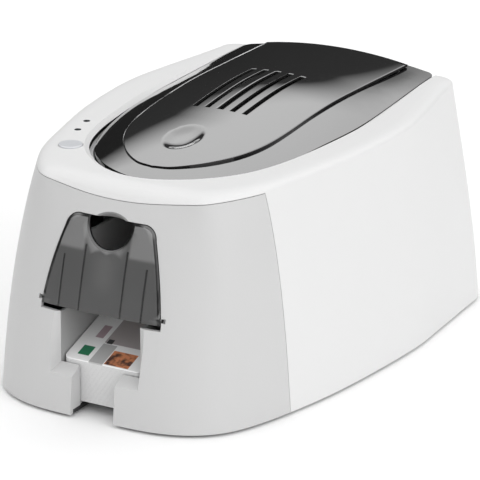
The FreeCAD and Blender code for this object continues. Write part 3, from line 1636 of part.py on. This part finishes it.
node("control_button", turned("ControlButton", button_profile, ("button_x", "button_y", "0"), "Z"))
lenses = []
top_form = outer.cut(dish)
for index, (x, y) in enumerate(((d.lamp1_x, d.lamp1_y), (d.lamp2_x, d.lamp2_y))):
    pipe = Part.makeCylinder(d.lamp_radius, d.brow_height, Vector(x, y, board_top)).common(top_form)
    lenses.append(shaped(f"LampLens{index + 1}", pipe))
node("lamp_lenses", group("LampLenses", *lenses))


def report(label, shape):
    box = shape.BoundBox
    print(
        f"{label:18s} solids {len(shape.Solids)} volume {shape.Volume / 1000:9.2f} cm3 "
        f"x {box.XMin:.1f} {box.XMax:.1f} y {box.YMin:.1f} {box.YMax:.1f} z {box.ZMin:.1f} {box.ZMax:.1f}"
    )


doc.recompute()
os.makedirs("parts", exist_ok=True)
for item in doc.Objects:
    for state in item.State:
        if state in ("Invalid", "Error"):
            raise RuntimeError(f"{item.Label} did not build: {item.State}")
for item in nodes:
    if item.Shape.isNull() or not item.Shape.isValid() or not item.Shape.Solids:
        raise RuntimeError(f"{item.Label} has no valid solid")
    report(item.Label, item.Shape)
for item in nodes:
    item.Shape.exportStep(os.path.join("parts", item.Label + ".step"))
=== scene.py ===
import json
import math

import bmesh
import bpy
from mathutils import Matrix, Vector


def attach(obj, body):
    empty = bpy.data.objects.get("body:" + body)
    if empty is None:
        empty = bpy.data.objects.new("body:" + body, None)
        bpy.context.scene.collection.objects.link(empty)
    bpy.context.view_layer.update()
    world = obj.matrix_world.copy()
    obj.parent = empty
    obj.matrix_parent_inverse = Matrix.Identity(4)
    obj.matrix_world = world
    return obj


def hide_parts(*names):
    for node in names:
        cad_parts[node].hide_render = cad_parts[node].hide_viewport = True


# Card printer in a pale studio. Lengths are metres, X to the right, Y to the back, Z up.

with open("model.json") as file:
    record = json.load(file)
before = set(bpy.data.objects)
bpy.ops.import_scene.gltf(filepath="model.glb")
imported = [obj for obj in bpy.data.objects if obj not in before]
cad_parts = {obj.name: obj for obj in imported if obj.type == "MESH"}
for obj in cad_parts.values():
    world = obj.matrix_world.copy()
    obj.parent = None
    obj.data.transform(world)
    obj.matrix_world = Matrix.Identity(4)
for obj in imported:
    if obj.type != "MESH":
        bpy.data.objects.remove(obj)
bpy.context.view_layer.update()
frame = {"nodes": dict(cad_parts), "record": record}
nodes = frame["nodes"]
MM = 0.001


# camera: a long lens in front of the printer, to its right and a little above

FRAME_PIXELS = 480
SENSOR = 36.0
FOCAL_PIXELS = 3252.06
AZIMUTH = 0.52274
ELEVATION = 0.344842
DISTANCE = 2.0004
TARGET = Vector((0.03941, -0.05064, 0.09))


def add_camera():
    data = bpy.data.cameras.new("camera")
    data.sensor_width = SENSOR
    data.lens = SENSOR * FOCAL_PIXELS / FRAME_PIXELS
    data.clip_end = 3 * DISTANCE
    camera = bpy.data.objects.new("camera", data)
    back = Vector(
        (
            math.sin(AZIMUTH) * math.cos(ELEVATION),
            -math.cos(AZIMUTH) * math.cos(ELEVATION),
            math.sin(ELEVATION),
        )
    )
    camera.location = TARGET + DISTANCE * back
    camera.rotation_euler = back.to_track_quat("Z", "Y").to_euler()
    bpy.context.scene.collection.objects.link(camera)
    bpy.context.scene.camera = camera


# shader maths: a socket with operators, a node tree to fill, and a finish


class Value:
    """One output socket, with the arithmetic that the finishes use."""

    def __init__(self, wiring, socket):
        self.wiring = wiring
        self.socket = socket

    def _maths(self, operation, *values):
        return self.wiring.add("ShaderNodeMath", {"operation": operation}, *values)["Value"]

    def __add__(self, other):
        return self._maths("ADD", self, other)

    __radd__ = __add__

    def __sub__(self, other):
        return self._maths("SUBTRACT", self, other)

    def __rsub__(self, other):
        return self._maths("SUBTRACT", other, self)

    def __mul__(self, other):
        return self._maths("MULTIPLY", self, other)

    __rmul__ = __mul__

    def __truediv__(self, other):
        return self._maths("DIVIDE", self, other)

    def __gt__(self, other):
        return self._maths("GREATER_THAN", self, other)

    def __lt__(self, other):
        return self._maths("LESS_THAN", self, other)

    def magnitude(self):
        return self._maths("ABSOLUTE", self)

    def fraction(self):
        return self._maths("FRACT", self)

    def wave(self):
        return self._maths("SINE", self)

    def smooth(self, low, high):
        """Zero below low, one above high, with a soft step between."""
        settings = {"interpolation_type": "SMOOTHSTEP"}
        links = {"Value": self, "From Min": low, "From Max": high}
        return self.wiring.add("ShaderNodeMapRange", settings, **links)["Result"]


class Outputs:
    """The named outputs of a node."""

    def __init__(self, wiring, node):
        self.wiring = wiring
        self.node = node

    def __getitem__(self, name):
        return Value(self.wiring, self.node.outputs[name])


class Wiring:
    """A node tree that is filled through one method."""

    def __init__(self, tree):
        self.tree = tree

    def add(self, kind, settings=None, *values, **sockets):
        """A node of any kind: its settings first, then its sockets in order or by name."""
        node = self.tree.nodes.new(kind)
        for name, setting in (settings or {}).items():
            if name == "stops":
                self._ramp(node.color_ramp, setting)
            else:
                setattr(node, name, setting)
        for key, value in list(enumerate(values)) + list(sockets.items()):
            self.connect(value, node.inputs[key])
        return Outputs(self, node)

    @staticmethod
    def _ramp(ramp, stops):
        while len(ramp.elements) < len(stops):
            ramp.elements.new(0.5)
        for element, (position, color) in zip(ramp.elements, stops):
            element.position = position
            element.color = color

    def connect(self, value, target):
        """A link where the value is a socket's, and a constant where it isn't."""
        if isinstance(value, Value):
            self.tree.links.new(value.socket, target)
        else:
            target.default_value = value

    def blend(self, mask, first, second):
        """The first colour where the mask is zero, the second where it is one."""
        mix = self.add("ShaderNodeMix", {"data_type": "RGBA"}).node
        for socket, value in (("Factor", mask), ("A", first), ("B", second)):
            target = next(item for item in mix.inputs if item.name == socket and item.enabled)
            self.connect(value, target)
        return Value(self, next(item for item in mix.outputs if item.enabled))


class Finish(Wiring):
    """A material around one Principled shader."""

    def __init__(self, name, **fixed):
        self.material = bpy.data.materials.new(name)
        self.material.use_nodes = True
        super().__init__(self.material.node_tree)
        self.shader = self.tree.nodes["Principled BSDF"]
        for socket, value in fixed.items():
            self.shader.inputs[socket.replace("_", " ")].default_value = value

    def place(self):
        return self.add("ShaderNodeTexCoord")["Object"]

    def axes(self):
        parts = self.add("ShaderNodeSeparateXYZ", None, self.place())
        return parts["X"], parts["Y"], parts["Z"]

    def noise(self, scale, detail=3.0, roughness=0.5, coordinates=None):
        sockets = {
            "Vector": coordinates or self.place(),
            "Scale": scale,
            "Detail": detail,
            "Roughness": roughness,
        }
        return self.add("ShaderNodeTexNoise", None, **sockets)["Fac"]

    def feed(self, socket, value):
        self.connect(value, self.shader.inputs[socket])

    def bump(self, height, distance):
        sockets = {"Height": height, "Distance": distance, "Strength": 1.0}
        self.feed("Normal", self.add("ShaderNodeBump", None, **sockets)["Normal"])


def grey(level, tint=(1.0, 1.0, 1.0)):
    return tuple(level * part for part in tint) + (1.0,)


def shaded(color, share, lift=0.0):
    return tuple(lift + part * share for part in color[:3]) + (1.0,)


# textures, each by its scale, detail and roughness, and the depths of bumps in metres

CLOUDS = (14.0, 4.0)
SPARKS = (900.0, 2.0, 0.6)
SPARK_DEPTH = 0.00004
HANDLING = (60.0, 5.0, 0.62)
SMEARS = (9.0, 3.0)
RIPPLES = (420.0, 2.0)
RIPPLE_DEPTH = 0.000004
STREAKS = (1.0, 3.0, 0.6)
STREAK_STRETCH = (40.0, 2000.0, 2000.0)
STREAK_DEPTH = 0.00001
BLOOM = (180.0, 4.0, 0.65)
RUBBER_GRAIN = (2600.0, 2.0)
RUBBER_DEPTH = 0.00003
HAZE = (30.0, 3.0)
TURNS = (1400.0, 2.0)
TURN_DEPTH = 0.00002
MOTTLE = (190.0, 2.0)
PAPER = (40.0, 2.0)
EDGE_WANDER = (260.0, 2.0)
TRACK_DEPTH = 0.00004
RIB_DEPTH = 0.0003
CARD_GAP_DEPTH = 0.00025


# moulded housing plastic, with painted shade in the finger scoop above the door

SCOOP_CENTRE = (0.0, -147.1 * MM, 111.5 * MM)
SCOOP_BALL = 20.3 * MM
SCOOP_PAINTED_SHADE = grey(0.20)


def moulded(name, color, roughness=0.5, scoop_painted_shade=False, **fixed):
    """Moulded plastic: fine spark texture, faint clouding and roughness that wanders."""
    finish = Finish(name, **fixed)
    body = finish.blend(finish.noise(*CLOUDS), shaded(color, 0.97), color)
    # painted shade: inside the scoop's ball the colour is painted dark grey for the shade in the
    # recess
    if scoop_painted_shade:
        settings = {"operation": "DISTANCE"}
        offset = finish.add("ShaderNodeVectorMath", settings, finish.place(), SCOOP_CENTRE)["Value"]
        body = finish.blend(offset < SCOOP_BALL, body, SCOOP_PAINTED_SHADE)
    finish.feed("Base Color", body)
    texture = finish.noise(*SPARKS)
    finish.feed("Roughness", roughness - 0.06 + 0.12 * texture)
    finish.bump(texture, SPARK_DEPTH)
    return finish.material


def gloss(name, color):
    """Polished plastic with faint handling marks in its gloss."""
    finish = Finish(name, Coat_Weight=1.0, Coat_Roughness=0.03)
    marks = finish.noise(*HANDLING)
    finish.feed("Base Color", finish.blend(finish.noise(*SMEARS), color, shaded(color, 1.15)))
    finish.feed("Roughness", 0.06 + 0.05 * marks.smooth(0.5, 0.75))
    finish.bump(finish.noise(*RIPPLES), RIPPLE_DEPTH)
    return finish.material


def brushed(name, color, roughness=0.32):
    """Rolled or ground metal, with fine lines along X."""
    finish = Finish(name, Metallic=1.0)
    settings = {"operation": "MULTIPLY"}
    lines = finish.add("ShaderNodeVectorMath", settings, finish.place(), STREAK_STRETCH)["Vector"]
    streaks = finish.noise(*STREAKS, lines)
    finish.feed("Base Color", finish.blend(streaks, shaded(color, 0.86), color))
    finish.feed("Roughness", roughness - 0.08 + 0.18 * streaks)
    finish.bump(streaks, STREAK_DEPTH)
    return finish.material


def rubbery(name, color):
    """Matt rubber with a dusty bloom."""
    finish = Finish(name, Specular_IOR_Level=0.35)
    bloom = finish.noise(*BLOOM)
    dusty = shaded(color, 1.5, 0.02)
    finish.feed("Base Color", finish.blend(bloom.smooth(0.45, 0.8), color, dusty))
    finish.feed("Roughness", 0.7 + 0.2 * bloom)
    finish.bump(finish.noise(*RUBBER_GRAIN), RUBBER_DEPTH)
    return finish.material


# circuit board: tracks cross where two waves meet

LACQUER = (0.012, 0.09, 0.035, 1.0)
TRACK = (0.03, 0.2, 0.08, 1.0)


def circuit(name):
    """Green lacquered board with copper tracks under the lacquer."""
    finish = Finish(name, Coat_Weight=0.5, Coat_Roughness=0.2)
    _, y, z = finish.axes()
    bends = (y * 310.0).wave() * 3.0
    tracks = ((y * 2100.0).wave() * (z * 1700.0 + bends).wave()).smooth(0.1, 0.35)
    finish.feed("Base Color", finish.blend(tracks, LACQUER, TRACK))
    finish.feed("Roughness", 0.35 + 0.15 * finish.noise(300.0))
    finish.bump(tracks, TRACK_DEPTH)
    return finish.material


# feeder door's outline and ribs, in millimetres from the middle and from the floor

DOOR_FOOT = 67.0
DOOR_HALF = 41.7
DOOR_KNEE_HALF = 31.5
DOOR_KNEE = 114.5
DOOR_PEAK_HALF = 22.0
DOOR_TOP = 122.2
DOOR_BOW = 5.2
SHOULDER_ROUND = 0.72
NOTCH_CENTRE = 119.9
NOTCH_RADIUS = 15.4
RIM_WIDTH = 1.7
RIBS = ((14.6, 106.0), (29.0, 98.0))
RIB_EDGES = (0.3, 1.2)
HOPPER_TOP = 104.0
HOPPER_FADE = 3.0
HOPPER_SIDES = (14.5, 17.0)
GLOW_HALF = 13.0
GLOW_CENTRE = 92.0
GLOW_REACH = 17.0
DOOR_DULL = grey(0.085)
DOOR_PALE = grey(0.10)
DOOR_PAINTED_LIGHT = grey(0.20)
DOOR_GLOW = grey(0.13)
DOOR_LINE = grey(0.012)


def smoked(name):
    """Smoke-tinted door: see-through, with a dark rim and moulded ribs, painted light above the
    hopper and a painted glow in its middle.
    """
    finish = Finish(name, Coat_Weight=0.3, Coat_Roughness=0.2, IOR=1.49)
    x, _, z = finish.axes()
    out = x.magnitude() / MM
    up = z / MM
    rise = (up - DOOR_FOOT) / (DOOR_KNEE - DOOR_FOOT)
    half = DOOR_HALF - (DOOR_HALF - DOOR_KNEE_HALF) * rise + DOOR_BOW * rise * (1.0 - rise)
    side = out > half - RIM_WIDTH
    far = (out - DOOR_PEAK_HALF) / (DOOR_KNEE_HALF - DOOR_PEAK_HALF)
    over = (up - DOOR_KNEE) / (DOOR_TOP - DOOR_KNEE)
    shoulder = ((far * far + over * over) > SHOULDER_ROUND) * (far > 0.0) * (over > 0.0)
    crest = up > DOOR_TOP - 0.7 * RIM_WIDTH
    drop = up - NOTCH_CENTRE
    notch = (out * out + drop * drop) < (NOTCH_RADIUS + 0.6 * RIM_WIDTH) ** 2
    rim = side + shoulder + crest + notch
    ribs = 0.0
    for place, top in RIBS:
        ribs = ribs + (1.0 - (out - place).magnitude().smooth(*RIB_EDGES)) * (up < top)
    # painted light: above the hopper and beside its middle the door's colour is painted paler, for
    # light that shows through the door
    clear = up.smooth(HOPPER_TOP - HOPPER_FADE, HOPPER_TOP) * out.smooth(*HOPPER_SIDES)
    # painted light: a paler patch in the door's middle, a painted glow
    height = ((up - GLOW_CENTRE) / GLOW_REACH).magnitude()
    glow = (1.0 - (out / GLOW_HALF).smooth(0.0, 1.0)) * (1.0 - height.smooth(0.2, 1.0))
    haze = finish.noise(*HAZE)
    body = finish.blend(haze, DOOR_DULL, DOOR_PALE)
    body = finish.blend(clear, body, DOOR_PAINTED_LIGHT)
    body = finish.blend(glow * 0.7, body, DOOR_GLOW)
    lines = (rim + ribs * 0.7).smooth(0.0, 1.0)
    finish.feed("Base Color", finish.blend(lines, body, DOOR_LINE))
    finish.feed("Roughness", 0.26 + 0.08 * haze)
    finish.feed("Alpha", 0.82 + 0.18 * rim.smooth(0.0, 1.0))
    finish.bump(ribs, RIB_DEPTH)
    return finish.material


def dyed_film(name):
    """Ribbon film with broad bands of dye around the roll."""
    finish = Finish(name, Coat_Weight=0.6, Coat_Roughness=0.08)
    _, y, z = finish.axes()
    turns = finish.noise(*TURNS)
    bands = (y * 90.0 + z * 60.0).wave().smooth(-0.3, 0.3)
    magenta = (0.10, 0.012, 0.05, 1.0)
    blue = (0.015, 0.03, 0.10, 1.0)
    finish.feed("Base Color", finish.blend(bands, magenta, blue))
    finish.feed("Roughness", 0.18 + 0.1 * turns)
    finish.bump(turns, TURN_DEPTH)
    return finish.material


def lens(name):
    """Small clear light pipe, unlit."""
    finish = Finish(name, Transmission_Weight=0.4, IOR=1.45)
    cloud = finish.noise(900.0)
    dull = (0.04, 0.045, 0.05, 1.0)
    bright = (0.08, 0.085, 0.09, 1.0)
    finish.feed("Base Color", finish.blend(cloud, dull, bright))
    finish.feed("Roughness", 0.12 + 0.1 * cloud)
    return finish.material


# cards: the pile's slope in degrees, one card's thickness, and the sides of the print and of a
# painted shade in millimetres

PILE_SLOPE = 18.0
CARD_THICK = 0.76
CARD_STOCK = (0.70, 0.70, 0.70, 1.0)
CARD_GAP = (0.30, 0.30, 0.31, 1.0)
CARD_DULL = grey(0.80)
CARD_PALE = grey(0.84)
CARD_PRINT_AND_SHADE = (
    (-9.4, 0.4, -149.5, -131.5, grey(0.42)),
    # painted shade: the far part of the card is painted a darker grey for the shade of the bay over
    # it
    (-9.4, 25.0, -130.5, -96.0, (0.36, 0.33, 0.33, 1.0)),
    (-18.0, -12.5, -127.5, -116.0, (0.40, 0.30, 0.33, 1.0)),
    (-20.3, -12.4, -144.4, -135.9, (0.015, 0.16, 0.075, 1.0)),
    (-8.0, -4.0, -131.0, -127.0, grey(0.03)),
)
PICTURE_SIDES = (1.0, 18.0, -148.4, -135.6)
PICTURE_DARK = (0.05, 0.02, 0.015, 1.0)
PICTURE_PALE = (0.62, 0.23, 0.10, 1.0)


def card_edges(name):
    """White card stock seen from its edges, as a pile of thin sheets."""
    finish = Finish(name, Coat_Weight=0.3, Coat_Roughness=0.1)
    _, y, z = finish.axes()
    level = (z - y * math.tan(math.radians(PILE_SLOPE))) / (CARD_THICK * MM)
    edge = (level.fraction() - 0.5).magnitude().smooth(0.36, 0.5)
    wander = finish.noise(*EDGE_WANDER)
    shade = edge * (0.55 + 0.45 * wander)
    finish.feed("Base Color", finish.blend(shade, CARD_STOCK, CARD_GAP))
    finish.feed("Roughness", 0.35 + 0.1 * wander)
    finish.bump(1.0 - edge, CARD_GAP_DEPTH)
    return finish.material


def patch(x, y, left, right, front, back):
    """A rectangle on the card, by its sides in millimetres."""
    return (x > left * MM) * (x < right * MM) * (y > front * MM) * (y < back * MM)


def card_face(name):
    """Printed card: green square, grey panel, a coloured panel and grey bars on white, with painted
    shade of the bay over the card's far part.
    """
    finish = Finish(name, Coat_Weight=0.5, Coat_Roughness=0.08)
    x, y, _ = finish.axes()
    picture = finish.blend(finish.noise(*MOTTLE).smooth(0.35, 0.6), PICTURE_DARK, PICTURE_PALE)
    shade = finish.noise(*PAPER)
    face = finish.blend(shade, CARD_DULL, CARD_PALE)
    for *sides, tone in CARD_PRINT_AND_SHADE:
        face = finish.blend(patch(x, y, *sides), face, tone)
    face = finish.blend(patch(x, y, *PICTURE_SIDES), face, picture)
    finish.feed("Base Color", face)
    finish.feed("Roughness", 0.3 + 0.08 * shade)
    return finish.material


# finishes, and the record's slot that each one serves

SHELL = moulded("shell", grey(0.64))
# painted shade: the front is a darker grey than the shell, standing in for the shade on the front
# face
FRONT_PAINTED_SHADE = moulded("front", grey(0.51), 0.48, scoop_painted_shade=True)
LID = gloss("lid_black", grey(0.006))
LID_PANEL = gloss("lid_panel_grey", grey(0.02))
DARK = moulded("dark_moulding", grey(0.02))
GREY_MOULDING = moulded("grey_moulding", grey(0.35))
HOPPER = moulded("hopper_grey", grey(0.55))
BUTTON = moulded("button_satin", grey(0.62, (0.98, 1.0, 1.04)), 0.3, Coat_Weight=0.4)
STEEL = brushed("zinc_sheet", grey(0.55))
SHAFT = brushed("ground_steel", grey(0.62), 0.2)
ALUMINIUM = brushed("aluminium", grey(0.7), 0.3)
RUBBER = rubbery("black_rubber", grey(0.02))
ACETAL = moulded("acetal", (0.78, 0.76, 0.70, 1.0), 0.42)
MOTOR = moulded("motor_paint", grey(0.03), 0.35, Metallic=0.3)
SPOOL = moulded("spool_grey", (0.34, 0.36, 0.40, 1.0), 0.45)
FILM = dyed_film("dyed_film")
BOARD = circuit("board")
SMOKE = smoked("smoke")
LENS = lens("lens")
CARDS = card_edges("card_edges")
CERAMIC = moulded("head_ceramic", (0.16, 0.15, 0.14, 1.0), 0.3)
PRINT = card_face("card_print")

FINISHES = {
    "shell_plastic": SHELL,
    "front_plastic": FRONT_PAINTED_SHADE,
    "lid_gloss": LID,
    "lid_frame_plastic": DARK,
    "door_smoke": SMOKE,
    "base_plastic": DARK,
    "foot_rubber": RUBBER,
    "frame_steel": STEEL,
    "shaft_steel": SHAFT,
    "roller_rubber": RUBBER,
    "gear_plastic": ACETAL,
    "bush_plastic": DARK,
    "motor_metal": MOTOR,
    "spool_plastic": SPOOL,
    "ribbon_dye": FILM,
    "head_ceramic": CERAMIC,
    "sink_aluminium": ALUMINIUM,
    "spring_steel": STEEL,
    "bracket_plastic": DARK,
    "tray_plastic": GREY_MOULDING,
    "card_white": CARDS,
    "card_print": PRINT,
    "board_green": BOARD,
    "socket_black": DARK,
    "socket_metal": STEEL,
    "connector_grey": DARK,
    "button_grey": BUTTON,
    "lens_clear": LENS,
}


def dress_nodes():
    """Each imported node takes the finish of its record's slot, and the hopper a paler one."""
    slots = {item["node"]: item["material_slot"] for item in frame["record"]["subparts"]}
    for name, item in nodes.items():
        item.data.materials.clear()
        item.data.materials.append(FINISHES[slots[name]])
    nodes["feeder_hopper"].data.materials[0] = HOPPER


# modelling helpers, with gaps and places in millimetres

MERGE_GAP = 0.001


def add_object(name, form, material):
    mesh = bpy.data.meshes.new(name)
    form.to_mesh(mesh)
    form.free()
    mesh.materials.append(material)
    item = bpy.data.objects.new(name, mesh)
    bpy.context.scene.collection.objects.link(item)
    return item


def slice_form(form, place, normal, **choice):
    """A flat cut through all of a form, at a place in millimetres."""
    geometry = form.verts[:] + form.edges[:] + form.faces[:]
    point = Vector(place) * MM
    return bmesh.ops.bisect_plane(form, geom=geometry, plane_co=point, plane_no=normal, **choice)


# raised panel of the lid, remade with a smooth rim and a clean dimple, in millimetres

LID_NOSE = 103.5
LID_HALF = 74.6
LID_NOSE_HEIGHT = 137.5
LID_TILT = 0.045
LID_CROWN = 15.6
PANEL_RAISE = 1.6
PANEL_THICK = 1.5
PANEL_COLUMNS = 72
PANEL_ROWS = 150
PANEL_MERGE_GAP = 0.01
PANEL_RIM = (
    (0.0, -89.5),
    (12.0, -86.8),
    (25.0, -77.5),
    (35.5, -65.0),
    (43.5, -50.0),
    (48.6, -32.0),
    (50.8, -10.0),
    (51.4, 20.0),
    (51.8, 60.0),
    (52.4, 105.0),
    (53.0, 146.0),
)
CROWN = (
    (-1.09, 0.55, -0.07),
    (-0.62, 0.82, 0.49),
    (-0.23, 1.0, 0.77),
    (0.35, 1.05, 1.0),
    (0.84, 1.03, 0.83),
    (1.53, 0.98, 0.42),
)
CROWN_EDGE = 0.08
DIMPLE_PLACE = -51.5
DIMPLE_HALF_WIDTH = 12.0
DIMPLE_HALF_LENGTH = 17.0
DIMPLE_DEPTH = 3.0
LOUVRE_PITCH = 9.0
LOUVRE_HALF = 1.7
LOUVRE_LAST = 2
LOUVRE_ENDS = (-8.0, 67.0)
LEAST_RUN = 1e-9


def eased(table, place):
    """Smooth run through a table of places and values, by its neighbours' slopes."""
    places = [row[0] for row in table]
    index = max(0, min(len(table) - 2, sum(place >= low for low in places) - 1))
    rows = [table[max(0, min(len(table) - 1, index + step))] for step in (-1, 0, 1, 2)]
    gap = rows[2][0] - rows[1][0]
    share = (place - rows[1][0]) / gap
    values = []
    for column in range(1, len(table[0])):
        near, far = rows[1][column], rows[2][column]
        start = gap * (far - rows[0][column]) / max(rows[2][0] - rows[0][0], LEAST_RUN)
        end = gap * (rows[3][column] - near) / max(rows[3][0] - rows[1][0], LEAST_RUN)
        square, cube = share**2, share**3
        value = (2 * cube - 3 * square + 1) * near + (cube - 2 * square + share) * start
        values.append(value + (3 * square - 2 * cube) * far + (cube - square) * end)
    return values


def crown_height(x, y):
    """Height of the lid's double-curved top over a place: shares of its width and rise."""
    wide_share, rise_share = eased(CROWN, y / LID_NOSE)
    base = LID_NOSE_HEIGHT + LID_TILT * (y + LID_NOSE)
    top = rise_share * LID_CROWN
    side = min(rise_share - CROWN_EDGE / 2, -CROWN_EDGE) * LID_CROWN
    half = wide_share * LID_HALF
    sag = top - side
    radius = (half**2 + sag**2) / (2 * sag)
    return base + top - radius + math.sqrt(radius**2 - x**2)


def panel_height(x, y):
    reach = math.hypot(x / DIMPLE_HALF_WIDTH, (y - DIMPLE_PLACE) / DIMPLE_HALF_LENGTH)
    bowl = DIMPLE_DEPTH * (1 - min(reach, 1.0) ** 3) ** 1.5
    return crown_height(x, y) + PANEL_RAISE - bowl


def in_louvre(centre):
    x, y = centre.x / MM, centre.y / MM
    step = round(x / LOUVRE_PITCH)
    inside = abs(x - step * LOUVRE_PITCH) < LOUVRE_HALF and abs(step) <= LOUVRE_LAST
    return inside and LOUVRE_ENDS[0] < y < LOUVRE_ENDS[1]


def make_panel():
    """A flat sheet is drawn in to the rim, slotted, raised to the crown and given its wall."""
    form = bmesh.new()
    bmesh.ops.create_grid(form, x_segments=PANEL_COLUMNS, y_segments=PANEL_ROWS, size=1.0)
    rim = [(index / (len(PANEL_RIM) - 1), *row) for index, row in enumerate(PANEL_RIM)]
    for vert in form.verts:
        half, y = eased(rim, (vert.co.y + 1) / 2)
        vert.co = Vector((vert.co.x * max(half, 0.0), y, 0)) * MM
    bmesh.ops.remove_doubles(form, verts=form.verts, dist=PANEL_MERGE_GAP * MM)
    for step in range(-LOUVRE_LAST, LOUVRE_LAST + 1):
        for side in (-1, 1):
            slice_form(form, (step * LOUVRE_PITCH + side * LOUVRE_HALF, 0, 0), (1, 0, 0))
    for end in LOUVRE_ENDS:
        slice_form(form, (0, end, 0), (0, 1, 0))
    slots = [face for face in form.faces if in_louvre(face.calc_center_median())]
    bmesh.ops.delete(form, geom=slots, context="FACES")
    for vert in form.verts:
        vert.co.z = panel_height(vert.co.x / MM, vert.co.y / MM) * MM
    bmesh.ops.recalc_face_normals(form, faces=form.faces)
    if sum(face.normal.z for face in form.faces) < 0:
        bmesh.ops.reverse_faces(form, faces=form.faces)
    bmesh.ops.solidify(form, geom=form.faces[:], thickness=PANEL_THICK * MM)
    for face in form.faces:
        face.smooth = abs(face.normal.z) > 0.5
    piece = add_object("panel_shell", form, LID_PANEL)
    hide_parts("lid_panel")
    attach(piece, "lid")


# feeder door, with the outer ends of its pins trimmed, in millimetres

DOOR_END = 42.3


def make_door():
    form = bmesh.new()
    form.from_mesh(nodes["feeder_door"].data)
    bmesh.ops.remove_doubles(form, verts=form.verts, dist=MERGE_GAP * MM)
    for side in (-1, 1):
        cut = slice_form(form, (side * DOOR_END, 0, 0), (side, 0, 0), clear_outer=True)
        edges = [item for item in cut["geom_cut"] if isinstance(item, bmesh.types.BMEdge)]
        bmesh.ops.contextual_create(form, geom=edges)
    piece = add_object("door_shell", form, SMOKE)
    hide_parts("feeder_door")
    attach(piece, "door")


# studio, in metres and watts

FLOOR_HALF = 1.5
FLOOR_DULL = grey(0.91)
FLOOR_PALE = grey(0.93)
KEY_PLACE = Vector((2.4, -1.0, 1.3))
KEY_AIM = Vector((0, 0, 0.05))
KEY_SIZE = 2.2
KEY_POWER = 26.0
STUDIO_PALE = grey(1.05)
REFLECTED = ((0.0, 0.02), (0.38, 0.03), (0.56, 2.2), (0.8, 3.4))


def add_floor():
    form = bmesh.new()
    bmesh.ops.create_grid(form, x_segments=1, y_segments=1, size=FLOOR_HALF)
    finish = Finish("floor_paper")
    paper = finish.noise(20.0)
    finish.feed("Base Color", finish.blend(paper, FLOOR_DULL, FLOOR_PALE))
    finish.feed("Roughness", 0.75 + 0.1 * paper)
    add_object("floor", form, finish.material)


def add_key():
    data = bpy.data.lights.new("key", "AREA")
    data.shape = "RECTANGLE"
    data.size = KEY_SIZE
    data.size_y = KEY_SIZE
    data.energy = KEY_POWER
    lamp = bpy.data.objects.new("key", data)
    lamp.location = KEY_PLACE
    lamp.rotation_euler = (KEY_AIM - KEY_PLACE).to_track_quat("-Z", "Y").to_euler()
    bpy.context.scene.collection.objects.link(lamp)


def add_world():
    """Pale to the camera and for soft light, darker near the horizon in what gloss reflects."""
    world = bpy.data.worlds.new("studio")
    world.use_nodes = True
    wiring = Wiring(world.node_tree)
    direction = wiring.add("ShaderNodeTexCoord")["Generated"]
    height = wiring.add("ShaderNodeSeparateXYZ", None, direction)["Z"]
    stops = [(position, grey(level)) for position, level in REFLECTED]
    mirrored = wiring.add("ShaderNodeValToRGB", {"stops": stops}, height)["Color"]
    glossy = wiring.add("ShaderNodeLightPath")["Is Glossy Ray"]
    background = world.node_tree.nodes["Background"]
    wiring.connect(wiring.blend(glossy, STUDIO_PALE, mirrored), background.inputs["Color"])
    bpy.context.scene.world = world


add_camera()
add_world()
add_floor()
add_key()
dress_nodes()
make_panel()
make_door()
bpy.context.scene.view_settings.view_transform = "Standard"
